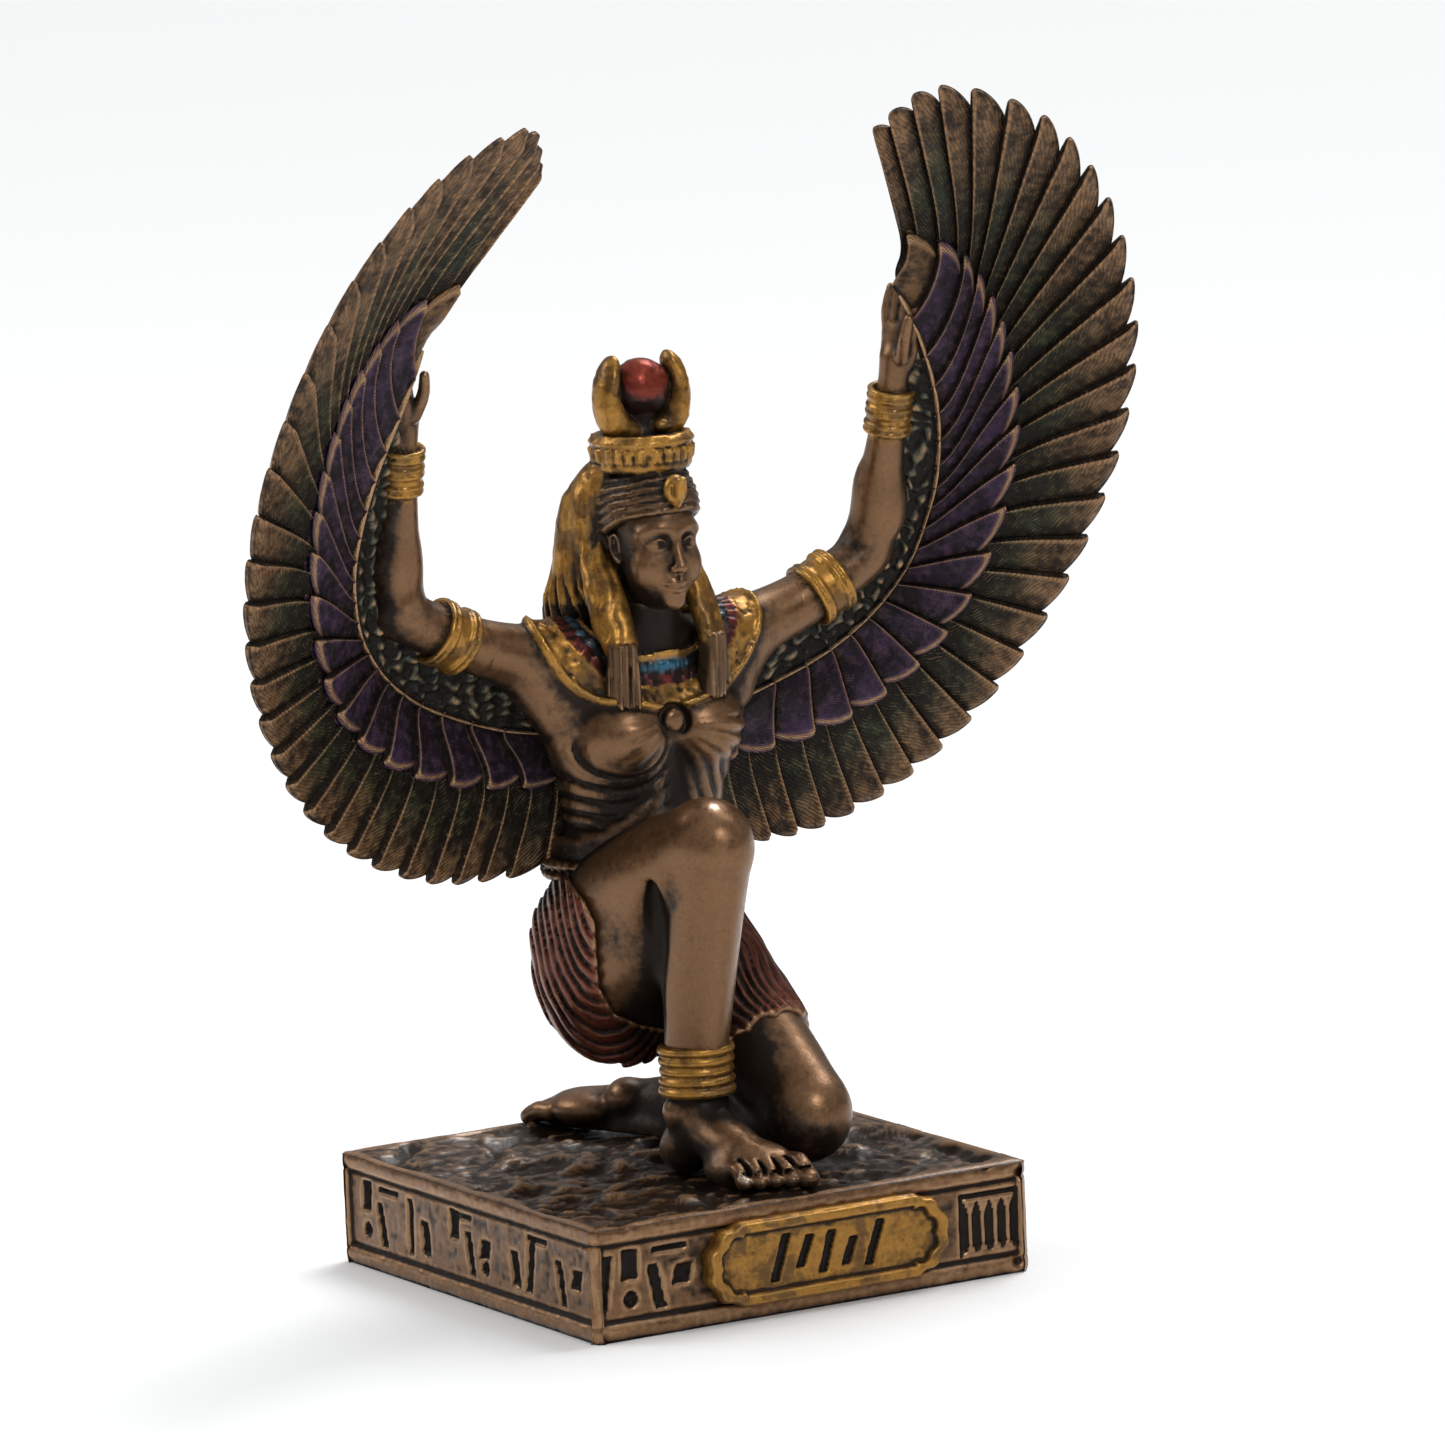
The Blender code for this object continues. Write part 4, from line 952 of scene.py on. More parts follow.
OUTER = [(14.2, -10.5, 86.2), (17.4, -14.8, 89.6), (25.6, -16.3, 86.9), (32.3, -14.6, 79.9),
         (36.7, -11.2, 69.8), (37.9, -6.4, 59.2), (35.9, -2.0, 49.3), (31.4, 1.8, 40.7),
         (25.0, 4.6, 34.5), (17.6, 6.0, 31.1), (10.5, 6.4, 30.4), (3.0, 4.7, 31.0)]
MIDDLE = [(18.9, -6.0, 78.2), (24.0, -5.9, 76.4), (27.1, -5.2, 73.2), (29.4, -4.4, 69.0), (30.9, -3.3, 63.4),
          (31.0, -1.6, 57.2), (29.5, 0.6, 50.3), (26.4, 2.8, 44.6), (21.4, 4.4, 40.5), (15.2, 5.3, 38.2),
          (8.6, 5.9, 37.3), (3.0, 4.4, 37.0)]
RIM = [(21.3, -2.8, 74.2), (23.3, -2.0, 68.4), (24.9, -0.7, 63.4), (25.6, 0.8, 58.9), (25.5, 2.2, 55.2),
       (24.6, 3.4, 51.6), (22.9, 4.4, 48.9), (20.2, 5.4, 46.3), (16.4, 6.2, 44.0), (10.3, 6.7, 41.9),
       (3.0, 4.6, 41.0)]
BONE = [(21.7, -1.8, 71.0), (21.8, -0.4, 67.0), (22.0, 1.2, 61.5), (21.8, 2.8, 55.5), (20.2, 3.9, 51.0),
        (15.0, 4.6, 48.0), (9.0, 5.2, 46.5), (3.0, 4.2, 45.0)]
PRIMARIES = 33
COVERTS = 21
STEPS_TO_A_FEATHER = 13

FEATHER_GREEN = np.array((0.032, 0.052, 0.014))
FEATHER_PURPLE = np.array((0.062, 0.026, 0.105))
FEATHER_BRONZE = np.array((0.290, 0.155, 0.068))
SCAPULAR_GREEN = np.array((0.060, 0.072, 0.050))


def wing_point(along, across):
    """Point of the wing's middle sheet, across from 0 at the bone to 1 at the rim, 2 at the coverts' ends
    and 3 outside."""
    lines = np.stack([path_point(c, along) for c in (BONE, RIM, MIDDLE, OUTER)])
    across = np.clip(across, 0, 3.2)
    k = np.minimum(across.astype(int), 2)
    t = (across - k)[..., None]
    index = np.arange(across.size).reshape(across.shape)
    flat = lines.reshape(4, -1, 3)

    def line(number):
        return flat[np.clip(number, 0, 3).ravel(), index.ravel()].reshape(*across.shape, 3)

    before, start, end, after = line(k - 1), line(k), line(k + 1), line(k + 2)
    before = np.where((k == 0)[..., None], 2 * start - end, before)
    after = np.where((k == 2)[..., None], 2 * end - start, after)
    return 0.5 * (2 * start + (end - before) * t + (2 * before - 5 * start + 4 * end - after) * t * t
                  + (3 * start - before - 3 * end + after) * t ** 3)


def wing_frame(along, across):
    """Points of the wing's middle sheet and the directions that stand off it."""
    small = 0.004
    spot = wing_point(along, across)
    down = wing_point(np.clip(along + small, 0, 1), across) - wing_point(np.clip(along - small, 0, 1), across)
    out = wing_point(along, across + small) - wing_point(along, across - small)
    normal = np.cross(down, out)
    return spot, normal / np.maximum(np.linalg.norm(normal, axis=-1, keepdims=True), 1e-9)


def sheet_mesh(name, front, back, attributes, material, side):
    """Closed sheet from two grids of points that share their border rows and columns."""
    rows, columns = front.shape[:2]
    index = np.arange(rows * columns).reshape(rows, columns)
    quads = grid_faces(rows, columns)
    edge = np.concatenate([index[0, :-1], index[:-1, -1], index[-1, :0:-1], index[:0:-1, 0]])
    under = edge + rows * columns
    wall = np.stack([edge, under, np.roll(under, -1), np.roll(edge, -1)], -1)
    faces = np.concatenate([quads[:, (0, 3, 2, 1)], quads + rows * columns, wall[:, ::-1]])
    points = np.concatenate([front.reshape(-1, 3), back.reshape(-1, 3)])
    data = {key: np.concatenate([a.reshape(rows * columns, *a.shape[2:]),
                                 b.reshape(rows * columns, *b.shape[2:])])
            for key, (a, b) in attributes.items()}
    made = make_mesh(name, points, faces, data, material)
    if side < 0:
        flip(made)
    return made


def feather_share(along, count, first, last):
    """Number of the feather and the share of the way over it, from 0 at its leading edge to 1."""
    place = (along - first) / (last - first) * count
    number = np.clip(np.floor(place), 0, count - 1)
    return number, np.clip(place - number, 0, 1)


def feather_columns(count, first, last, steps):
    """Places along the wing: steps to a feather, closer at its leading edge, with a doubled gap line."""
    inner = np.concatenate([[0.0, 0.035, 0.09, 0.16], np.linspace(0.26, 0.90, steps - 6), [0.955, 0.999]])
    places = [(k + inner) / count for k in range(count)]
    return first + (last - first) * np.concatenate(places)


def feather_row(count, first, last, ramp, start, length, tip):
    """Grid over a row of feathers that start at a place across the wing, their ends shaped by tip."""
    along = feather_columns(count, first, last, STEPS_TO_A_FEATHER)
    number, share = feather_share(along, count, first, last)
    across = start + length * tip(number, share)[None, :] * ramp[:, None]
    grid, number, share, reach = np.broadcast_arrays(along[None, :], number[None, :], share[None, :],
                                                     ramp[:, None])
    spot, normal = wing_frame(grid, across)
    gap = hump(share, 0, 0.018) + hump(1, share, 0.03)
    return spot, normal, across, number, share, reach, gap


def blend_paint(under, over, share):
    """Colour of each point, from one paint at share 0 to another at 1."""
    return under * (1 - share[..., None]) + over * share[..., None]


def side_name(name, side):
    """Name of a piece with its side, left being the figure's own left at +X."""
    return name + ("_left" if side > 0 else "_right")


def primaries(material, side):
    """Outer row of long feathers, green with bronze ends."""
    def tip(number, share):
        wobble = np.sin(number * 12.9898) * 0.5
        return 1.0 - 0.050 * share ** 2.2 - 0.016 * np.exp(-share / 0.06) - 0.010 * wobble

    ramp = np.concatenate([np.linspace(0, 0.86, 25), np.linspace(0.885, 1, 9)])
    spot, normal, across, number, share, reach, gap = feather_row(PRIMARIES, 0.0, 1.0, ramp, 0.75, 2.25, tip)
    lead = hump(share, 0.055, 0.032)
    shaft = hump(share, 0.5, 0.035)
    lean = 0.46 * (1 - share)
    close = 1 - fade(reach, 0.965, 1.0)
    height = (0.30 + lean + 0.13 * lead + 0.03 * shaft - 0.28 * gap) * (0.35 + 0.65 * close)
    ripple = np.sin(2 * math.pi * (reach * 34 + share * 2.2 + 0.6 * np.sin(number * 7)))
    height = height + 0.03 * ripple * (1 - lead) * close
    under = -(0.30 + 0.26 * share ** 1.2 - 0.2 * gap * (share > 0.5)) * (0.3 + 0.7 * close)
    front = spot + normal * height[..., None]
    back = spot + normal * under[..., None]
    ragged = 0.04 * np.sin(number * 5) + 0.05 * np.sin(number * 2.3) - 0.10 * share
    bronze = np.clip(0.75 * lead + 0.95 * fade(reach + ragged, 0.62, 0.90) + 0.10 * shaft
                     + 0.6 * (number < 1), 0, 1)
    colour = blend_paint(FEATHER_GREEN, FEATHER_BRONZE, bronze)
    rear = np.clip(fade(reach, 0.86, 0.98) + 0.35 * hump(share, 0.93, 0.05) + 0.25, 0, 1)
    rear = blend_paint(FEATHER_GREEN, FEATHER_BRONZE, rear)
    edge = 0.75 * lead - 1.3 * gap + 0.08 * shaft - 0.10 - 0.25 * fade(share, 0.75, 1.0)
    # Painted shade where the coverts' ends lie over the feathers, and towards the feathers' roots under the
    # coverts
    shade = -0.5 * np.exp(-(np.maximum(across - 2.0, 0) / 0.10) ** 2) - 0.15 * (1 - reach)
    rest = np.zeros_like(edge)
    vane = np.stack([share, reach, rest], -1)
    attributes = {"paint": (colour, rear), "edge": (edge, 0.4 * hump(share, 0.93, 0.05) - gap),
                  "bulk": (shade, rest - 0.1), "gilt": (rest, rest), "vane": (vane, vane)}
    return sheet_mesh(side_name("primaries", side), front, back, attributes, material, side)


def coverts(material, side):
    """Middle row of shorter feathers, purple with bronze borders."""
    def tip(number, share):
        return 1.0 - 0.13 * share ** 2.4 - 0.05 * np.exp(-share / 0.06)

    ramp = np.concatenate([np.linspace(0, 0.84, 20), np.linspace(0.87, 1, 9)])
    spot, normal, across, number, share, reach, gap = feather_row(COVERTS, 0.012, 0.99, ramp, 0.93, 1.09, tip)
    lead = hump(share, 0.05, 0.03)
    shaft = hump(share, 0.5, 0.03)
    close = 1 - fade(reach, 0.95, 1.0)
    relief = 0.42 * (1 - share) + 0.13 * lead + 0.03 * shaft - 0.3 * gap
    ripple = np.sin(2 * math.pi * (reach * 15 + share * 2.0 + 0.5 * number))
    height = 0.75 + relief * (0.3 + 0.7 * close) + 0.12 * close + 0.04 * ripple * (1 - lead) * close
    front = spot + normal * height[..., None]
    back = spot + normal * 0.35
    border = hump(reach, 0.955, 0.03)
    bronze = np.clip(0.75 * lead + 0.7 * border + 0.08 * shaft, 0, 1)
    bronze = np.maximum(bronze, number < 1)
    colour = blend_paint(FEATHER_PURPLE, FEATHER_BRONZE, bronze)
    edge = 0.75 * lead + 0.6 * border - 1.3 * gap + 0.06 * shaft - 0.10 - 0.25 * fade(share, 0.75, 1.0)
    rest = np.zeros_like(edge)
    # Painted shade at the coverts' roots, under the scapulars' rim
    shade = rest - 0.7 * hump(across, 0.98, 0.07)
    vane = np.stack([share, reach, rest], -1)
    attributes = {"paint": (colour, colour), "edge": (edge, rest), "bulk": (shade, rest),
                  "gilt": (rest, rest),
                  "vane": (vane, vane)}
    return sheet_mesh(side_name("coverts", side), front, back, attributes, material, side)


def scapulars(material, side):
    """Band of small curled feathers inside a thin raised rim, plain beside the hand."""
    along = np.linspace(0.03, 1.0, 230)
    across = np.concatenate([np.linspace(0.0, 0.90, 24), np.linspace(0.92, 1.09, 9)])
    grid, across = np.meshgrid(along, across)
    spot, normal = wing_frame(grid, across)
    curl = grain(spot[..., 0], spot[..., 1], spot[..., 2], 1.15, 31) * 2.2
    lumps = np.sin(spot[..., 0] * 2.6 + spot[..., 2] * 1.9 + curl * 1.6) * np.sin(spot[..., 2] * 2.9
                                                                                  - spot[..., 0] * 1.7 + curl)
    fine = grain(spot[..., 0], spot[..., 1], spot[..., 2], 0.42, 32)
    plain = 1 - fade(grid, 0.055, 0.10)
    rim = hump(across, 1.0, 0.028)
    inner = 1 - fade(across, 0.86, 0.93)
    clumps = (0.22 * lumps + 0.08 * fine) * inner * (1 - plain)
    height = 0.95 + clumps + 0.42 * rim - 0.9 * fade(across, 1.03, 1.09)
    height = height * (0.35 + 0.65 * fade(across, 0.0, 0.08))
    front = spot + normal * height[..., None]
    back = spot + normal * 0.2
    bronze = np.clip(rim * 0.9 + plain + 0.25 * fade(lumps, 0.4, 0.9), 0, 1)
    colour = blend_paint(SCAPULAR_GREEN, FEATHER_BRONZE, bronze)
    edge = (0.55 * lumps + 0.35 * fine - 0.22) * inner * (1 - plain) + 0.9 * rim
    edge = edge - 1.4 * hump(across, 0.91, 0.035) - 1.0 * fade(across, 1.04, 1.09)
    rest = np.zeros_like(edge)
    vane = np.zeros((*edge.shape, 3))
    attributes = {"paint": (colour, colour), "edge": (edge, rest), "bulk": (rest, rest), "gilt": (rest, rest),
                  "vane": (vane, vane)}
    return sheet_mesh(side_name("scapulars", side), front, back, attributes, material, side)


# Plinth: half widths, height, and how tall its rims are and how far its band is sunk

PLINTH_X = 19.0
PLINTH_Y = 19.25
PLINTH_TOP = 8.7
RIM_TALL = 1.45
BAND_SINK = 0.35
# Grid points across the top, a carved wall and a plain wall
TOP_POINTS = 160
CARVED_POINTS = 208
PLAIN_POINTS = 110


def lift_of(height, reach, cell):
    """How far each point stands above its surroundings."""
    rows = np.pad(height, reach, mode="edge")
    total = np.zeros_like(height)
    for i in range(2 * reach + 1):
        total += rows[i:i + height.shape[0], reach:reach + height.shape[1]]
    mean = total / (2 * reach + 1)
    rows = np.pad(mean, reach, mode="edge")
    total = np.zeros_like(height)
    for i in range(2 * reach + 1):
        total += rows[reach:reach + height.shape[0], i:i + height.shape[1]]
    return (height - total / (2 * reach + 1)) / (reach * cell)


def rocky(x, y):
    """Broken, scaly rock."""
    z = 0 * x
    bend = 1.4 * grain(x, y, z, 4.0, 41)
    steps = grain(x + bend, y * 1.5 - bend, z, 3.6, 42) + 0.45 * grain(x + bend, y * 1.4, z, 1.5, 43)
    level = steps * 2.6
    flat = np.floor(level)
    part = level - flat
    terrace = (flat + fade(part, 0.62, 1.0)) / 2.6
    rock = 0.56 * (0.85 * terrace + 0.15 * steps) + 0.08 * grain(x, y, z, 0.8, 44) + 0.03 * grain(x, y, z,
                                                                                                  0.4, 45)
    return rock


def plinth_top(material):
    count = TOP_POINTS
    u = np.linspace(-1, 1, count)
    x, y = np.meshgrid(u * (PLINTH_X - 0.13), u * (PLINTH_Y - 0.13), indexing="ij")
    border = np.minimum(PLINTH_X - np.abs(x), PLINTH_Y - np.abs(y))
    worn = fade(border + 0.6 * grain(x, y, 0 * x, 1.8, 46), 0.5, 1.9)
    rock = rocky(x, y)
    z = PLINTH_TOP - 0.12 + rock * worn - 0.22 * worn + 0.10 * hump(border, 0.6, 0.4)
    z = z - 0.16 * (1 - fade(border, 0.1, 0.7)) ** 2
    points = np.stack([x, y, z], -1).reshape(-1, 3)
    cell = 2 * PLINTH_X / count
    lift = lift_of(z, 2, cell) * 1.6 + lift_of(z, 5, cell) * 1.2
    colour = np.array(PAINTS[ROCK]) * worn[..., None] + np.array(PAINTS[SKIN]) * (1 - worn[..., None])
    flat = np.zeros(lift.size)
    attributes = {"paint": colour.reshape(-1, 3), "edge": lift.ravel(), "bulk": flat - 0.1, "gilt": flat}
    return make_mesh("plinth_top", points, grid_faces(count, count), attributes, material)


def stroke_field(s, z, length, numbers):
    """Depth, from 0 to 1, of the shallow strokes cut along a band, none of them a letter."""
    low = RIM_TALL + 0.6
    band = PLINTH_TOP - 2 * low
    pitch = length / 17
    deep = np.zeros_like(s)
    for k in numbers:
        tall = band * (0.9, 0.45, 0.7, 0.3, 0.9, 0.55)[k % 6]
        rise = (band - tall) * (0.5, 1.0, 0.0, 0.5, 0.5, 0.2)[k % 6]
        wide = pitch * (0.4, 0.55, 0.35, 0.6, 0.3, 0.5)[k % 6]
        spot = -0.5 * length + (k + 0.5) * pitch
        middle = low + rise + 0.5 * tall
        lean = (0.16, -0.1, 0.0, 0.25, -0.2, 0.05)[(k * 5) % 6]
        px = np.abs(s - spot - lean * (z - middle)) - 0.5 * wide
        pz = np.abs(z - middle) - 0.5 * tall
        far = np.maximum(px, pz) + 0.05 * grain(s, z, 0 * s, 0.6, 51)
        deep = np.maximum(deep, 1 - fade(far, -0.10, 0.10))
        if k % 4 == 1:
            dot = np.hypot(s - spot, (z - (low + 0.2 * band))) - 0.55
            deep = np.maximum(deep, 1 - fade(dot, -0.1, 0.1))
        if k % 5 == 2:
            bar = np.maximum(np.abs(s - spot - 0.5 * pitch) - 0.62 * pitch,
                             np.abs(z - low - 0.95 * band) - 0.16)
            deep = np.maximum(deep, 1 - fade(bar, -0.1, 0.1))
    return deep


def lotus_field(s, z, length):
    """Row of four lotus stems with open heads, raised from a sunk ground."""
    shape = np.full(s.shape, 9.0)
    for k in range(4):
        spot = 0.5 * length - 5.0 + 1.12 * k
        stem = np.maximum(np.abs(s - spot) - 0.13, np.abs(z - 3.7) - 1.6)
        cup = np.maximum(np.abs(s - spot) - (0.16 + 0.42 * np.clip((z - 5.1) / 0.9, 0, 1)),
                         np.abs(z - 5.6) - 0.6)
        foot = np.maximum(np.abs(s - spot) - 0.34, np.abs(z - 2.3) - 0.16)
        shape = np.minimum(shape, np.minimum(np.minimum(stem, cup), foot))
    base = np.maximum(np.abs(s - (0.5 * length - 3.32)) - 2.4, np.abs(z - 2.0) - 0.12)
    shape = np.minimum(shape, base)
    field = np.maximum(np.abs(s - (0.5 * length - 3.32)) - 2.6, np.abs(z - 4.2) - 2.3)
    return (1 - fade(field, -0.1, 0.15)) * fade(shape, -0.05, 0.12)


def plinth_wall(name, length, numbers, lotus, material, turn):
    """One side of the plinth, a strip from the bottom edge to the top, made facing -Y and then turned."""
    half = 0.5 * length
    count = CARVED_POINTS if numbers else PLAIN_POINTS
    across = np.concatenate([[-half], np.linspace(-half + 0.06, half - 0.06, count), [half]])
    edges = PLINTH_TOP - 0.4, PLINTH_TOP - 0.3, PLINTH_TOP - 0.21
    up = np.concatenate([[0.0, 0.12, 0.3], np.linspace(0.5, PLINTH_TOP - 0.6, 44), edges])
    s, z = np.meshgrid(across, up, indexing="ij")
    lower_rim = np.sqrt(np.clip(1 - ((z - 0.5 * RIM_TALL) / (0.56 * RIM_TALL)) ** 2, 0, 1))
    upper_rim = np.sqrt(np.clip(1 - ((z - PLINTH_TOP + 0.5 * RIM_TALL) / (0.56 * RIM_TALL)) ** 2, 0, 1))
    rim = np.maximum(lower_rim, upper_rim)
    rim_foot = PLINTH_TOP - RIM_TALL
    band = fade(z, RIM_TALL - 0.1, RIM_TALL + 0.15) * (1 - fade(z, rim_foot - 0.15, rim_foot + 0.1))
    line = hump(z, RIM_TALL + 0.05, 0.13) + hump(z, rim_foot - 0.05, 0.13)
    marks = stroke_field(s, z, length, numbers)
    if lotus:
        marks = np.maximum(marks, 0.7 * lotus_field(s, z, length))
    rough = 0.05 * grain(s, z, 0 * s + turn, 1.1, 52) + 0.03 * grain(s, z, 0 * s + turn, 0.45, 53)
    if lotus:
        for along, level, deep in ((18.5, 7.7, 0.5), (18.0, 0.9, 0.45), (15.4, 8.5, 0.25), (-18.4, 0.3, 0.4)):
            rough = rough - deep * np.exp(-((s - along) / 0.55) ** 2 - ((z - level) / 0.45) ** 2)
    ends = 0.5 * (1 - fade(half - np.abs(s), 0.0, 0.7)) ** 2
    height = -0.5 * (1 - rim) * (1 - band) - BAND_SINK * band - 0.28 * line
    height = height - 0.5 * marks * band + rough - 0.07
    post = fade(half - np.abs(s), 0.75, 0.95)
    height = np.where((post < 1) & (band > 0), height * post + (1 - post) * (-0.1 + rough), height)
    cell = length / len(across)
    lift = lift_of(height, 2, cell) * 1.9 + lift_of(height, 5, cell) * 0.5 + 0.06
    lift = lift + 0.35 * np.exp(-((half - np.abs(s) - 0.4) / 0.3) ** 2)
    points = np.stack([s, ends - height, z], -1).reshape(-1, 3)
    angle = math.radians(turn)
    other = PLINTH_Y if turn in (0, 180) else PLINTH_X
    points[:, 1] -= other
    turned_x = (math.cos(angle), math.sin(angle), 0)
    turned_y = (-math.sin(angle), math.cos(angle), 0)
    points = points @ np.array((turned_x, turned_y, (0, 0, 1)))
    colour = np.array(PAINTS[SKIN]) * (1 - 0.9 * marks * band)[..., None] * np.ones(3)
    bottom = 1 - fade(z, 0.0, 0.5)
    colour = colour * (1 - 0.75 * bottom[..., None])
    attributes = {"paint": colour.reshape(-1, 3), "edge": lift.ravel(),
                  "bulk": (-0.7 * marks * band - 0.5 * bottom).ravel(), "gilt": 0 * lift.ravel()}
    return make_mesh(name, points, grid_faces(*s.shape), attributes, material)


def plinth_underside(material):
    """Flat underside, a little smaller than the plinth."""
    count = 24
    u = np.linspace(-1, 1, count)
    x, y = np.meshgrid(u * (PLINTH_X - 0.3), u * (PLINTH_Y - 0.3), indexing="ij")
    points = np.stack([x, y, 0.0 * x], -1).reshape(-1, 3)
    faces = grid_faces(count, count)[:, (0, 3, 2, 1)]
    flat = np.zeros(len(points))
    colour = np.tile(np.array(PAINTS[ROCK]), (len(points), 1))
    attributes = {"paint": colour, "edge": flat, "bulk": flat - 0.3, "gilt": flat}
    return make_mesh("plinth_underside", points, faces, attributes, material)


def nameplate(material):
    """Gilded cartouche with a raised, scalloped frame and five slanting strokes in place of a name."""
    clay = Clay((-10.6, -20.4, 0.6), (12.6, -18.0, 8.1), 0.13)
    cuts, (x, y, z) = clay.window((-10.6, -20.4, 0.6), (12.6, -18.0, 8.1))
    px = np.maximum(np.abs(x - 1.0) - 7.4, 0)
    pz = z - 4.35
    angle = np.arctan2(pz, px)
    ends = px > 0
    far = np.hypot(px, pz) - 3.25 + ends * 0.26 * wave(angle * 5 / math.pi)
    inner = np.hypot(px * 1.08, pz) - 2.3 + ends * 0.26 * wave(angle * 4 / math.pi)
    frame = (1 - fade(far, -0.35, 0.0) ** 2) * fade(inner, -0.12, 0.12)
    brushed = 0.03 * grain(x * 0.5, 0 * y, z * 3.0, 0.5, 61) + 0.04 * grain(x, 0 * y, z, 0.8, 62)
    brushed = brushed + 0.05 * frame * grain(x, 0 * y, z, 0.5, 63)
    strokes = 0 * x + 0 * z
    for k in range(5):
        spot = 1.0 + (k - 2) * 2.05
        lean = (0.34, 0.42, 0.30, 0.40, 0.36)[k]
        short = (0.0, 0.6, 0.2, 0.75, 0.1)[k]
        lift = (0.0, 0.25, -0.1, -0.3, 0.0)[k]
        far_stroke = np.maximum(np.abs(x - spot - lean * pz) - 0.36, np.abs(pz - lift) - 1.75 + short)
        strokes = np.maximum(strokes, 1 - fade(far_stroke, -0.12, 0.1))
    relief = 0.62 + 0.5 * frame + brushed - 0.42 * strokes
    surface = -(PLINTH_Y - 0.35) - relief + 0 * y
    solid = np.maximum((surface - y) * 0.8, far + 0 * y)
    clay.far[cuts] = np.maximum(solid, y + 18.3)
    clay.paint[:] = GOLD
    shape = np.broadcast_to(strokes > 0.5, clay.paint[cuts].shape)
    clay.paint[cuts] = np.where(shape, DARK, clay.paint[cuts])
    return finish_clay("nameplate", clay, material, near=0.3, wide=1.2, keep=lambda p: p[:, 1] < -18.7)


# How far out crowding is read for the painted occlusion shade, in millimetres, the filled share that counts as
# open, and the span up to full
LOOK_OUT = 2.6
OPEN_SHARE = 0.11
CROWD_SPAN = 0.16


def add_crowding(pieces):
    """Gives each point its occlusion value for painted shade: 0 in the open, 1 where surfaces stand close in front
    of it.
    """
    found = []
    for piece in pieces:
        data = piece.data
        spots = np.zeros(len(data.vertices) * 3, np.float32)
        data.vertices.foreach_get("co", spots)
        outs = np.zeros_like(spots)
        data.vertices.foreach_get("normal", outs)
        found.append((data, spots.reshape(-1, 3) / MM, outs.reshape(-1, 3)))
    start = np.min([spots.min(0) for _, spots, _ in found], axis=0) - 8
    end = np.max([spots.max(0) for _, spots, _ in found], axis=0) + 8
    filled = np.zeros(np.ceil(end - start).astype(int) + 1, np.float32)
    for _, spots, _ in found:
        index = np.rint(spots - start).astype(int)
        filled[index[:, 0], index[:, 1], index[:, 2]] = 1
    near = blurred(blurred(filled, 2), 2)
    for data, spots, outs in found:
        occlusion_shade = np.clip((sample(near, spots + LOOK_OUT * outs - start) - OPEN_SHARE) / CROWD_SPAN, 0, 1)
        data.attributes.new("occlusion_shade", "FLOAT", "POINT").data.foreach_set("value", occlusion_shade.astype(np.float32))


# Finishes

class Graph:
    """Short names for the nodes of a material."""

    def __init__(self, name):
        self.material = bpy.data.materials.new(name)
        self.material.use_nodes = True
        self.tree = self.material.node_tree
        self.shader = self.tree.nodes["Principled BSDF"]

    def node(self, kind, settings=None, **sockets):
        made = self.tree.nodes.new(kind)
        for key, value in (settings or {}).items():
            setattr(made, key, value)
        for key, value in sockets.items():
            socket = made.inputs[int(key[1:])] if key[0] == "i" and key[1:].isdigit() else made.inputs[key]
            self.put(socket, value)
        return made

    def put(self, socket, value):
        if isinstance(value, bpy.types.NodeSocket):
            self.tree.links.new(value, socket)
        else:
            socket.default_value = value

    def math(self, operation, a, b=0.0, clamp=False):
        made = self.node("ShaderNodeMath", {"operation": operation, "use_clamp": clamp}, i0=a, i1=b)
        return made.outputs[0]

    def span(self, value, low, high, start=0.0, end=1.0):
        made = self.node("ShaderNodeMapRange", {"interpolation_type": "SMOOTHSTEP"}, i0=value, i1=low,
                         i2=high,
                         i3=start, i4=end)
        return made.outputs[0]

    def mix(self, share, a, b, kind="MIX"):
        made = self.node("ShaderNodeMix", {"data_type": "RGBA", "blend_type": kind}, i0=share, i6=a, i7=b)
        return made.outputs[2]

    def noise(self, scale, detail=3.0, rough=0.55):
        spot = self.node("ShaderNodeTexCoord").outputs["Object"]
        made = self.node("ShaderNodeTexNoise", None, Vector=spot, Scale=scale, Detail=detail, Roughness=rough)
        return made.outputs["Fac"]

    def value(self, name, kind="Fac"):
        return self.node("ShaderNodeAttribute", {"attribute_name": name}).outputs[kind]


# Colour of the dark wash, also used for painted shade in broad hollows and where surfaces crowd close
WASH_AND_SHADE = (0.0085, 0.0055, 0.0042, 1)
WORN = (0.47, 0.275, 0.140, 1)
GILT_WORN = (0.62, 0.36, 0.09, 1)
SHINE = 0.5


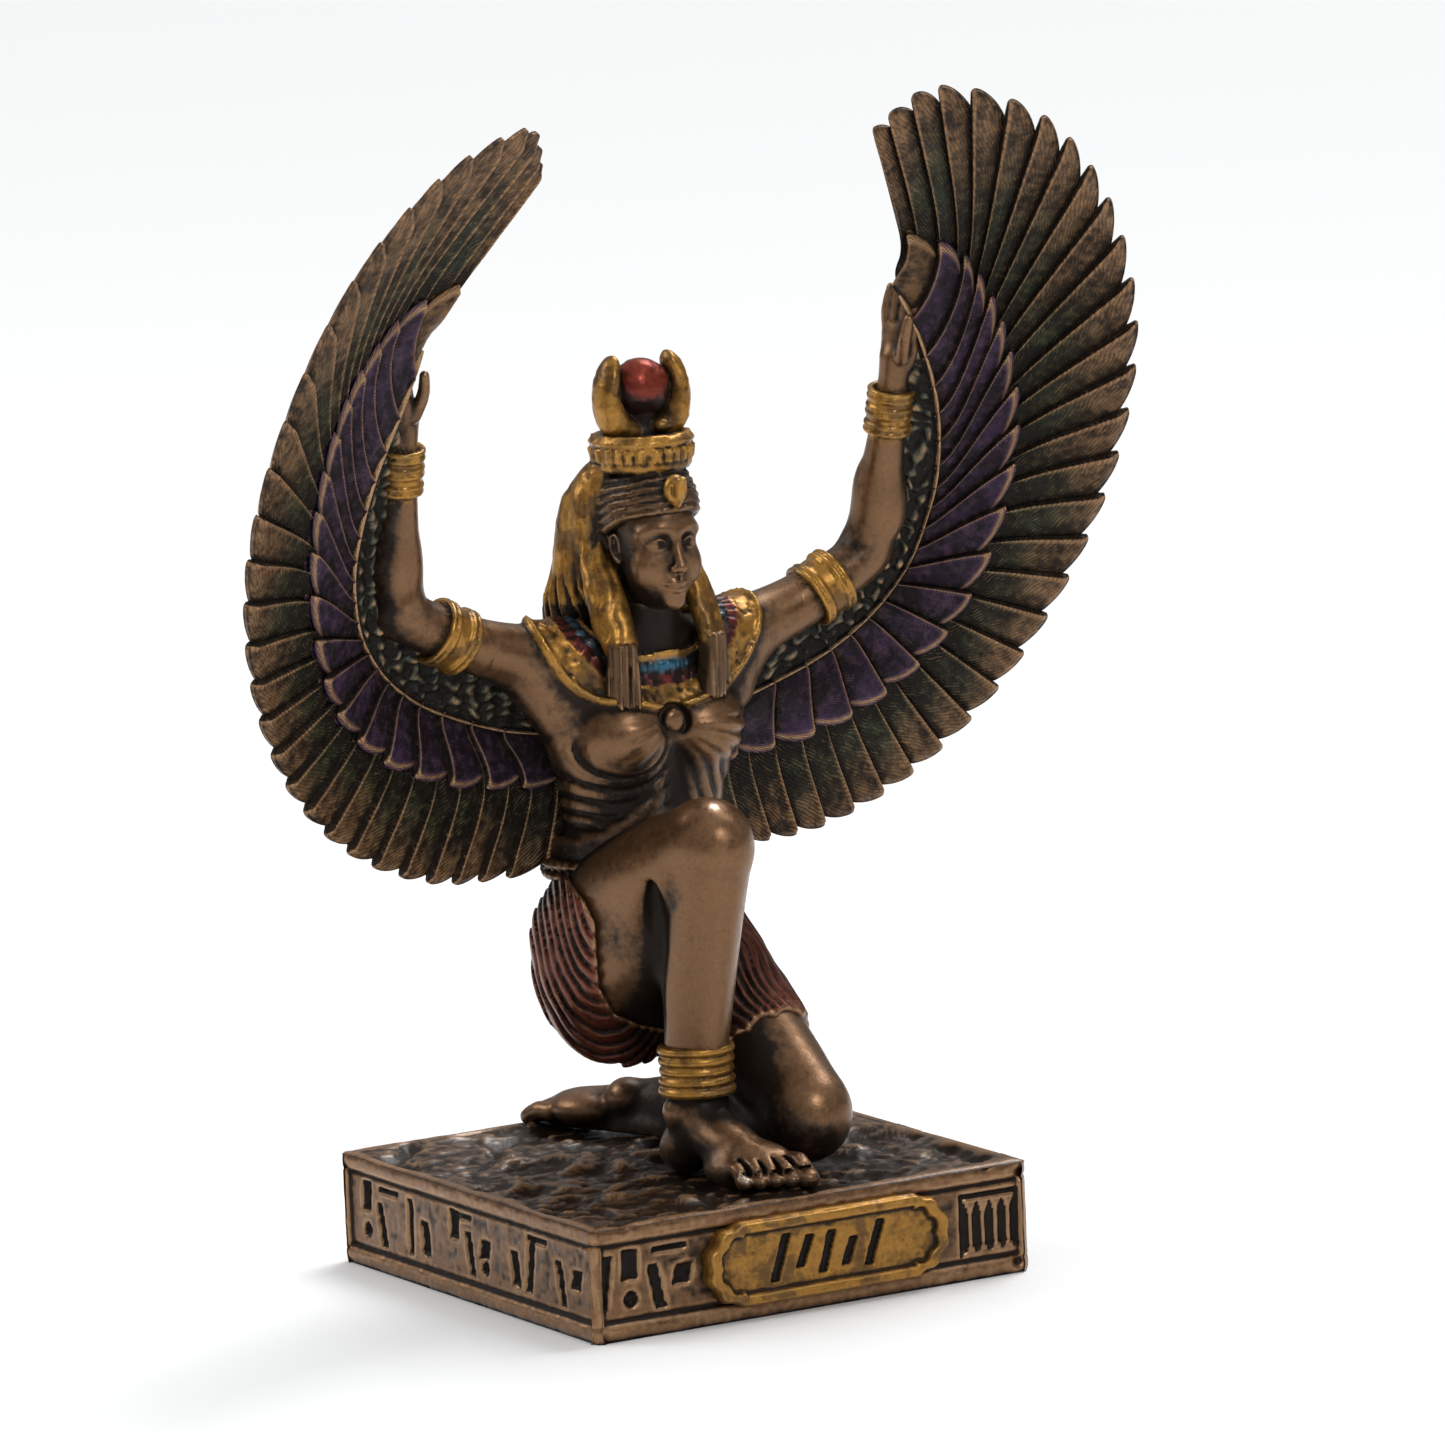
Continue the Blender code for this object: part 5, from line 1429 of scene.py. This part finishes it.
def patina(name, metal=0.72, gloss=(0.27, 0.44), wash=1.0, worn=0.5, barbs=False, coat=0.05,
           occlusion_shade_weight=1.0):
    """Painted bronze finish: a dark wash in the hollows, painted shade in the broad hollows and where surfaces
    crowd close, the paint, and worn bright edges.
    """
    g = Graph(name)
    patches = g.noise(420, 4.0, 0.6)
    grains = g.noise(5200, 2.0, 0.6)
    brush = g.noise(1500, 3.0, 0.6)
    edge = g.value("edge")
    bulk = g.value("bulk")
    gilt = g.value("gilt")
    uneven = g.math("MULTIPLY", g.math("SUBTRACT", patches, 0.5), 0.55)
    uneven = g.math("ADD", uneven, g.math("MULTIPLY", g.math("SUBTRACT", brush, 0.5), 0.35))
    occlusion_shade_share = g.math("SUBTRACT", occlusion_shade_weight, g.math("MULTIPLY", gilt, 0.7 * occlusion_shade_weight))
    occlusion_shade = g.math("MULTIPLY", g.value("occlusion_shade"), occlusion_shade_share)
    # Depth adds the broad hollows and the crowding to the fine hollows, so the wash drawn from it is partly
    # painted shade
    depth = g.math("ADD", edge, g.math("MULTIPLY", bulk, 0.7))
    depth = g.math("SUBTRACT", depth, g.math("MULTIPLY", occlusion_shade, 0.36))
    depth = g.math("ADD", depth, uneven)
    wash_and_shade = g.span(depth, 0.06, -0.26)
    wash_and_shade = g.math("MULTIPLY", wash_and_shade, wash, True)
    bright = g.span(g.math("ADD", edge, uneven), 0.10, 0.62)
    paint = g.value("paint", "Color")
    tone = g.mix(1.0, paint, g.mix(brush, (0.58, 0.55, 0.52, 1), (1.24, 1.20, 1.14, 1)), "MULTIPLY")
    brown = g.math("MULTIPLY", g.span(g.math("ADD", patches, g.math("MULTIPLY", uneven, 0.4)), 0.47, 0.60),
                   gilt)
    tone = g.mix(g.math("MULTIPLY", brown, 0.75), tone, (0.075, 0.038, 0.015, 1))
    # Painted shade where surfaces stand close in front
    tone = g.mix(g.math("MULTIPLY", occlusion_shade, 0.55), tone, WASH_AND_SHADE)
    light = g.mix(gilt, WORN, GILT_WORN)
    tone = g.mix(g.math("MULTIPLY", bright, worn), tone, light)
    # Dark wash in the hollows, which is painted shade in the broad and crowded ones
    tone = g.mix(g.math("MULTIPLY", wash_and_shade, 0.94), tone, WASH_AND_SHADE)
    sparkle = g.span(grains, 0.42, 0.72, 0.93, 1.13)
    tone = g.mix(1.0, tone, g.node("ShaderNodeCombineColor", None, i0=sparkle, i1=sparkle,
                                   i2=sparkle).outputs[0],
                 "MULTIPLY")
    height = g.math("MULTIPLY", grains, 0.5)
    height = g.math("ADD", height, g.math("MULTIPLY", brush, 0.6))
    reach = 0.00004
    if barbs:
        vane = g.node("ShaderNodeSeparateXYZ", None, i0=g.value("vane", "Vector"))
        wave_in = g.math("ADD", g.math("MULTIPLY", vane.outputs[1], 265.0),
                         g.math("MULTIPLY", vane.outputs[0], 26.0))
        wave_in = g.math("ADD", wave_in, g.math("MULTIPLY", patches, 26.0))
        lines = g.math("ADD", g.math("MULTIPLY", g.math("SINE", wave_in), 0.5), 0.5)
        lines = g.math("MULTIPLY", lines, g.span(brush, 0.36, 0.62, 0.25, 1.0))
        on_vane = g.span(vane.outputs[1], 0.0, 0.02)
        dark_lines = g.math("MULTIPLY", g.span(lines, 0.30, 0.0), 0.5)
        tone = g.mix(g.math("MULTIPLY", dark_lines, on_vane), tone, WASH_AND_SHADE)
        dry = g.math("MULTIPLY", g.span(g.math("ADD", lines, uneven), 0.62, 1.05), 0.5)
        tone = g.mix(g.math("MULTIPLY", dry, on_vane), tone, g.mix(0.35, (0.23, 0.145, 0.08, 1), tone))
        height = g.math("ADD", height, g.math("MULTIPLY", lines, 2.2))
        reach = 0.00009
    bump = g.node("ShaderNodeBump", None, Strength=0.55, Distance=reach, Height=height)
    rough = g.span(brush, 0.3, 0.7, gloss[0], gloss[1])
    rough = g.math("ADD", rough, g.math("MULTIPLY", wash_and_shade, 0.12))
    g.put(g.shader.inputs["Base Color"], tone)
    g.put(g.shader.inputs["Roughness"], rough)
    outside_wash_and_shade = g.math("SUBTRACT", 1.0, g.math("MULTIPLY", wash_and_shade, 0.8))
    g.put(g.shader.inputs["Metallic"], g.math("MULTIPLY", outside_wash_and_shade, metal))
    g.put(g.shader.inputs["Normal"], bump.outputs[0])
    g.put(g.shader.inputs["Coat Weight"], coat)
    g.put(g.shader.inputs["Coat Roughness"], 0.3)
    g.put(g.shader.inputs["Specular IOR Level"],
          g.math("MULTIPLY", g.math("SUBTRACT", 1.0, g.math("MULTIPLY", wash_and_shade, 0.75)), SHINE))
    return g.material


# The object

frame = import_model()

bronze = patina("aged_bronze")
plumage = patina("painted_feathers", metal=0.45, gloss=(0.34, 0.55), worn=0.8, barbs=True, occlusion_shade_weight=0.22)
stone = patina("rocky_base", metal=0.2, gloss=(0.22, 0.42), wash=0.85, worn=0.30, coat=0.0)
lacquer = patina("gilt_plate", metal=0.7, gloss=(0.34, 0.5), worn=0.45)

made = [trunk(bronze), skirt(bronze), lower(bronze), front_foot(bronze),
        face(patina("face_bronze", worn=0.22))]
made += [head(bronze), crown(bronze)]
for side in (-1, 1):
    made += [arm(bronze, side), primaries(plumage, side), coverts(plumage, side), scapulars(plumage, side)]
made += [plinth_top(stone), plinth_underside(bronze), nameplate(lacquer)]
made += [plinth_wall("plinth_front", 2 * PLINTH_X, (0, 1, 2, 3), True, bronze, 0),
         plinth_wall("plinth_left", 2 * PLINTH_Y, (1, 2, 4, 5, 7, 8, 9, 11, 12, 14, 15), False, bronze, -90),
         plinth_wall("plinth_back", 2 * PLINTH_X, (), False, bronze, 180),
         plinth_wall("plinth_right", 2 * PLINTH_Y, (), False, bronze, 90)]
add_crowding(made)
for piece in made:
    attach(piece, "root")
    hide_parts("isis_statue")
print("total", sum(sum(p.loop_total - 2 for p in piece.data.polygons) for piece in made), "triangles")

# Floor, light and camera

floor_mesh = bpy.data.meshes.new("floor")
floor_mesh.from_pydata([(-4, -4, 0), (4, -4, 0), (4, 4, 0), (-4, 4, 0)], [], [(0, 1, 2, 3)])
floor = bpy.data.objects.new("floor", floor_mesh)
bpy.context.scene.collection.objects.link(floor)
paper = bpy.data.materials.new("paper")
paper.use_nodes = True
paper.node_tree.nodes["Principled BSDF"].inputs["Base Color"].default_value = (0.85, 0.858, 0.862, 1)
paper.node_tree.nodes["Principled BSDF"].inputs["Roughness"].default_value = 0.55
floor_mesh.materials.append(paper)

world = bpy.data.worlds.new("studio")
world.use_nodes = True
sky = world.node_tree.nodes
height = sky.new("ShaderNodeSeparateXYZ")
lift = sky.new("ShaderNodeMapRange")
for number, value in ((1, 0.05), (2, 0.75), (3, 0.14), (4, 0.62)):
    lift.inputs[number].default_value = value
wires = world.node_tree.links
wires.new(sky.new("ShaderNodeTexCoord").outputs["Generated"], height.inputs[0])
wires.new(height.outputs[2], lift.inputs[0])
wires.new(lift.outputs[0], sky["Background"].inputs["Strength"])
sky["Background"].inputs["Color"].default_value = (0.95, 0.955, 0.96, 1)
bpy.context.scene.world = world


LAMP_AIM = Vector((0, 0, 0.045))


def lamp(name, place, size, power):
    """Soft rectangular light at a place in metres, aimed at the figure's middle."""
    data = bpy.data.lights.new(name, "AREA")
    data.shape = "RECTANGLE"
    data.size, data.size_y = size
    data.energy = power
    made = bpy.data.objects.new(name, data)
    made.location = place
    made.rotation_euler = (LAMP_AIM - Vector(place)).to_track_quat("-Z", "Y").to_euler()
    bpy.context.scene.collection.objects.link(made)


def sun(name, direction, strength, spread):
    """Wide, even light from a direction, its spread in degrees."""
    data = bpy.data.lights.new(name, "SUN")
    data.energy = strength
    data.angle = math.radians(spread)
    made = bpy.data.objects.new(name, data)
    made.rotation_euler = Vector(direction).to_track_quat("Z", "Y").to_euler()
    bpy.context.scene.collection.objects.link(made)


sun("key", (0.62, 0.18, 1.0), 2.4, 34)
lamp("front", (-0.02, -0.62, 0.46), (0.22, 0.22), 1.6)
lamp("rim", (-0.42, 0.30, 0.42), (0.3, 0.3), 1.4)

bpy.context.scene.view_settings.view_transform = "Standard"

# The photo's view: the direction it was taken from, its distance in metres and the focal length in its pixels
AZIMUTH = math.radians(-30.593)
ELEVATION = math.radians(9.340)
ROLL = math.radians(-2.433)
DISTANCE = 0.752881
AIM_RIGHT = 0.004601
AIM_UP = 0.041679
PHOTO_PIXELS = 1445
FOCAL_PIXELS = 10000
SENSOR = 36
level = math.cos(ELEVATION)
back = Vector((math.sin(AZIMUTH) * level, -math.cos(AZIMUTH) * level, math.sin(ELEVATION)))
right = Vector((math.cos(AZIMUTH), math.sin(AZIMUTH), 0))
up = back.cross(right)
across = right * math.cos(ROLL) + up * math.sin(ROLL)
upright = up * math.cos(ROLL) - right * math.sin(ROLL)
target = right * AIM_RIGHT + Vector((0, 0, AIM_UP))
camera = bpy.data.objects.new("camera", bpy.data.cameras.new("camera"))
camera.matrix_world = Matrix.Translation(target + back * DISTANCE) @ Matrix(
    (across, upright, back)).transposed().to_4x4()
camera.data.sensor_width = SENSOR
camera.data.lens = SENSOR * FOCAL_PIXELS / PHOTO_PIXELS
camera.data.clip_start = 0.01
camera.data.clip_end = 20
bpy.context.scene.collection.objects.link(camera)
bpy.context.scene.camera = camera
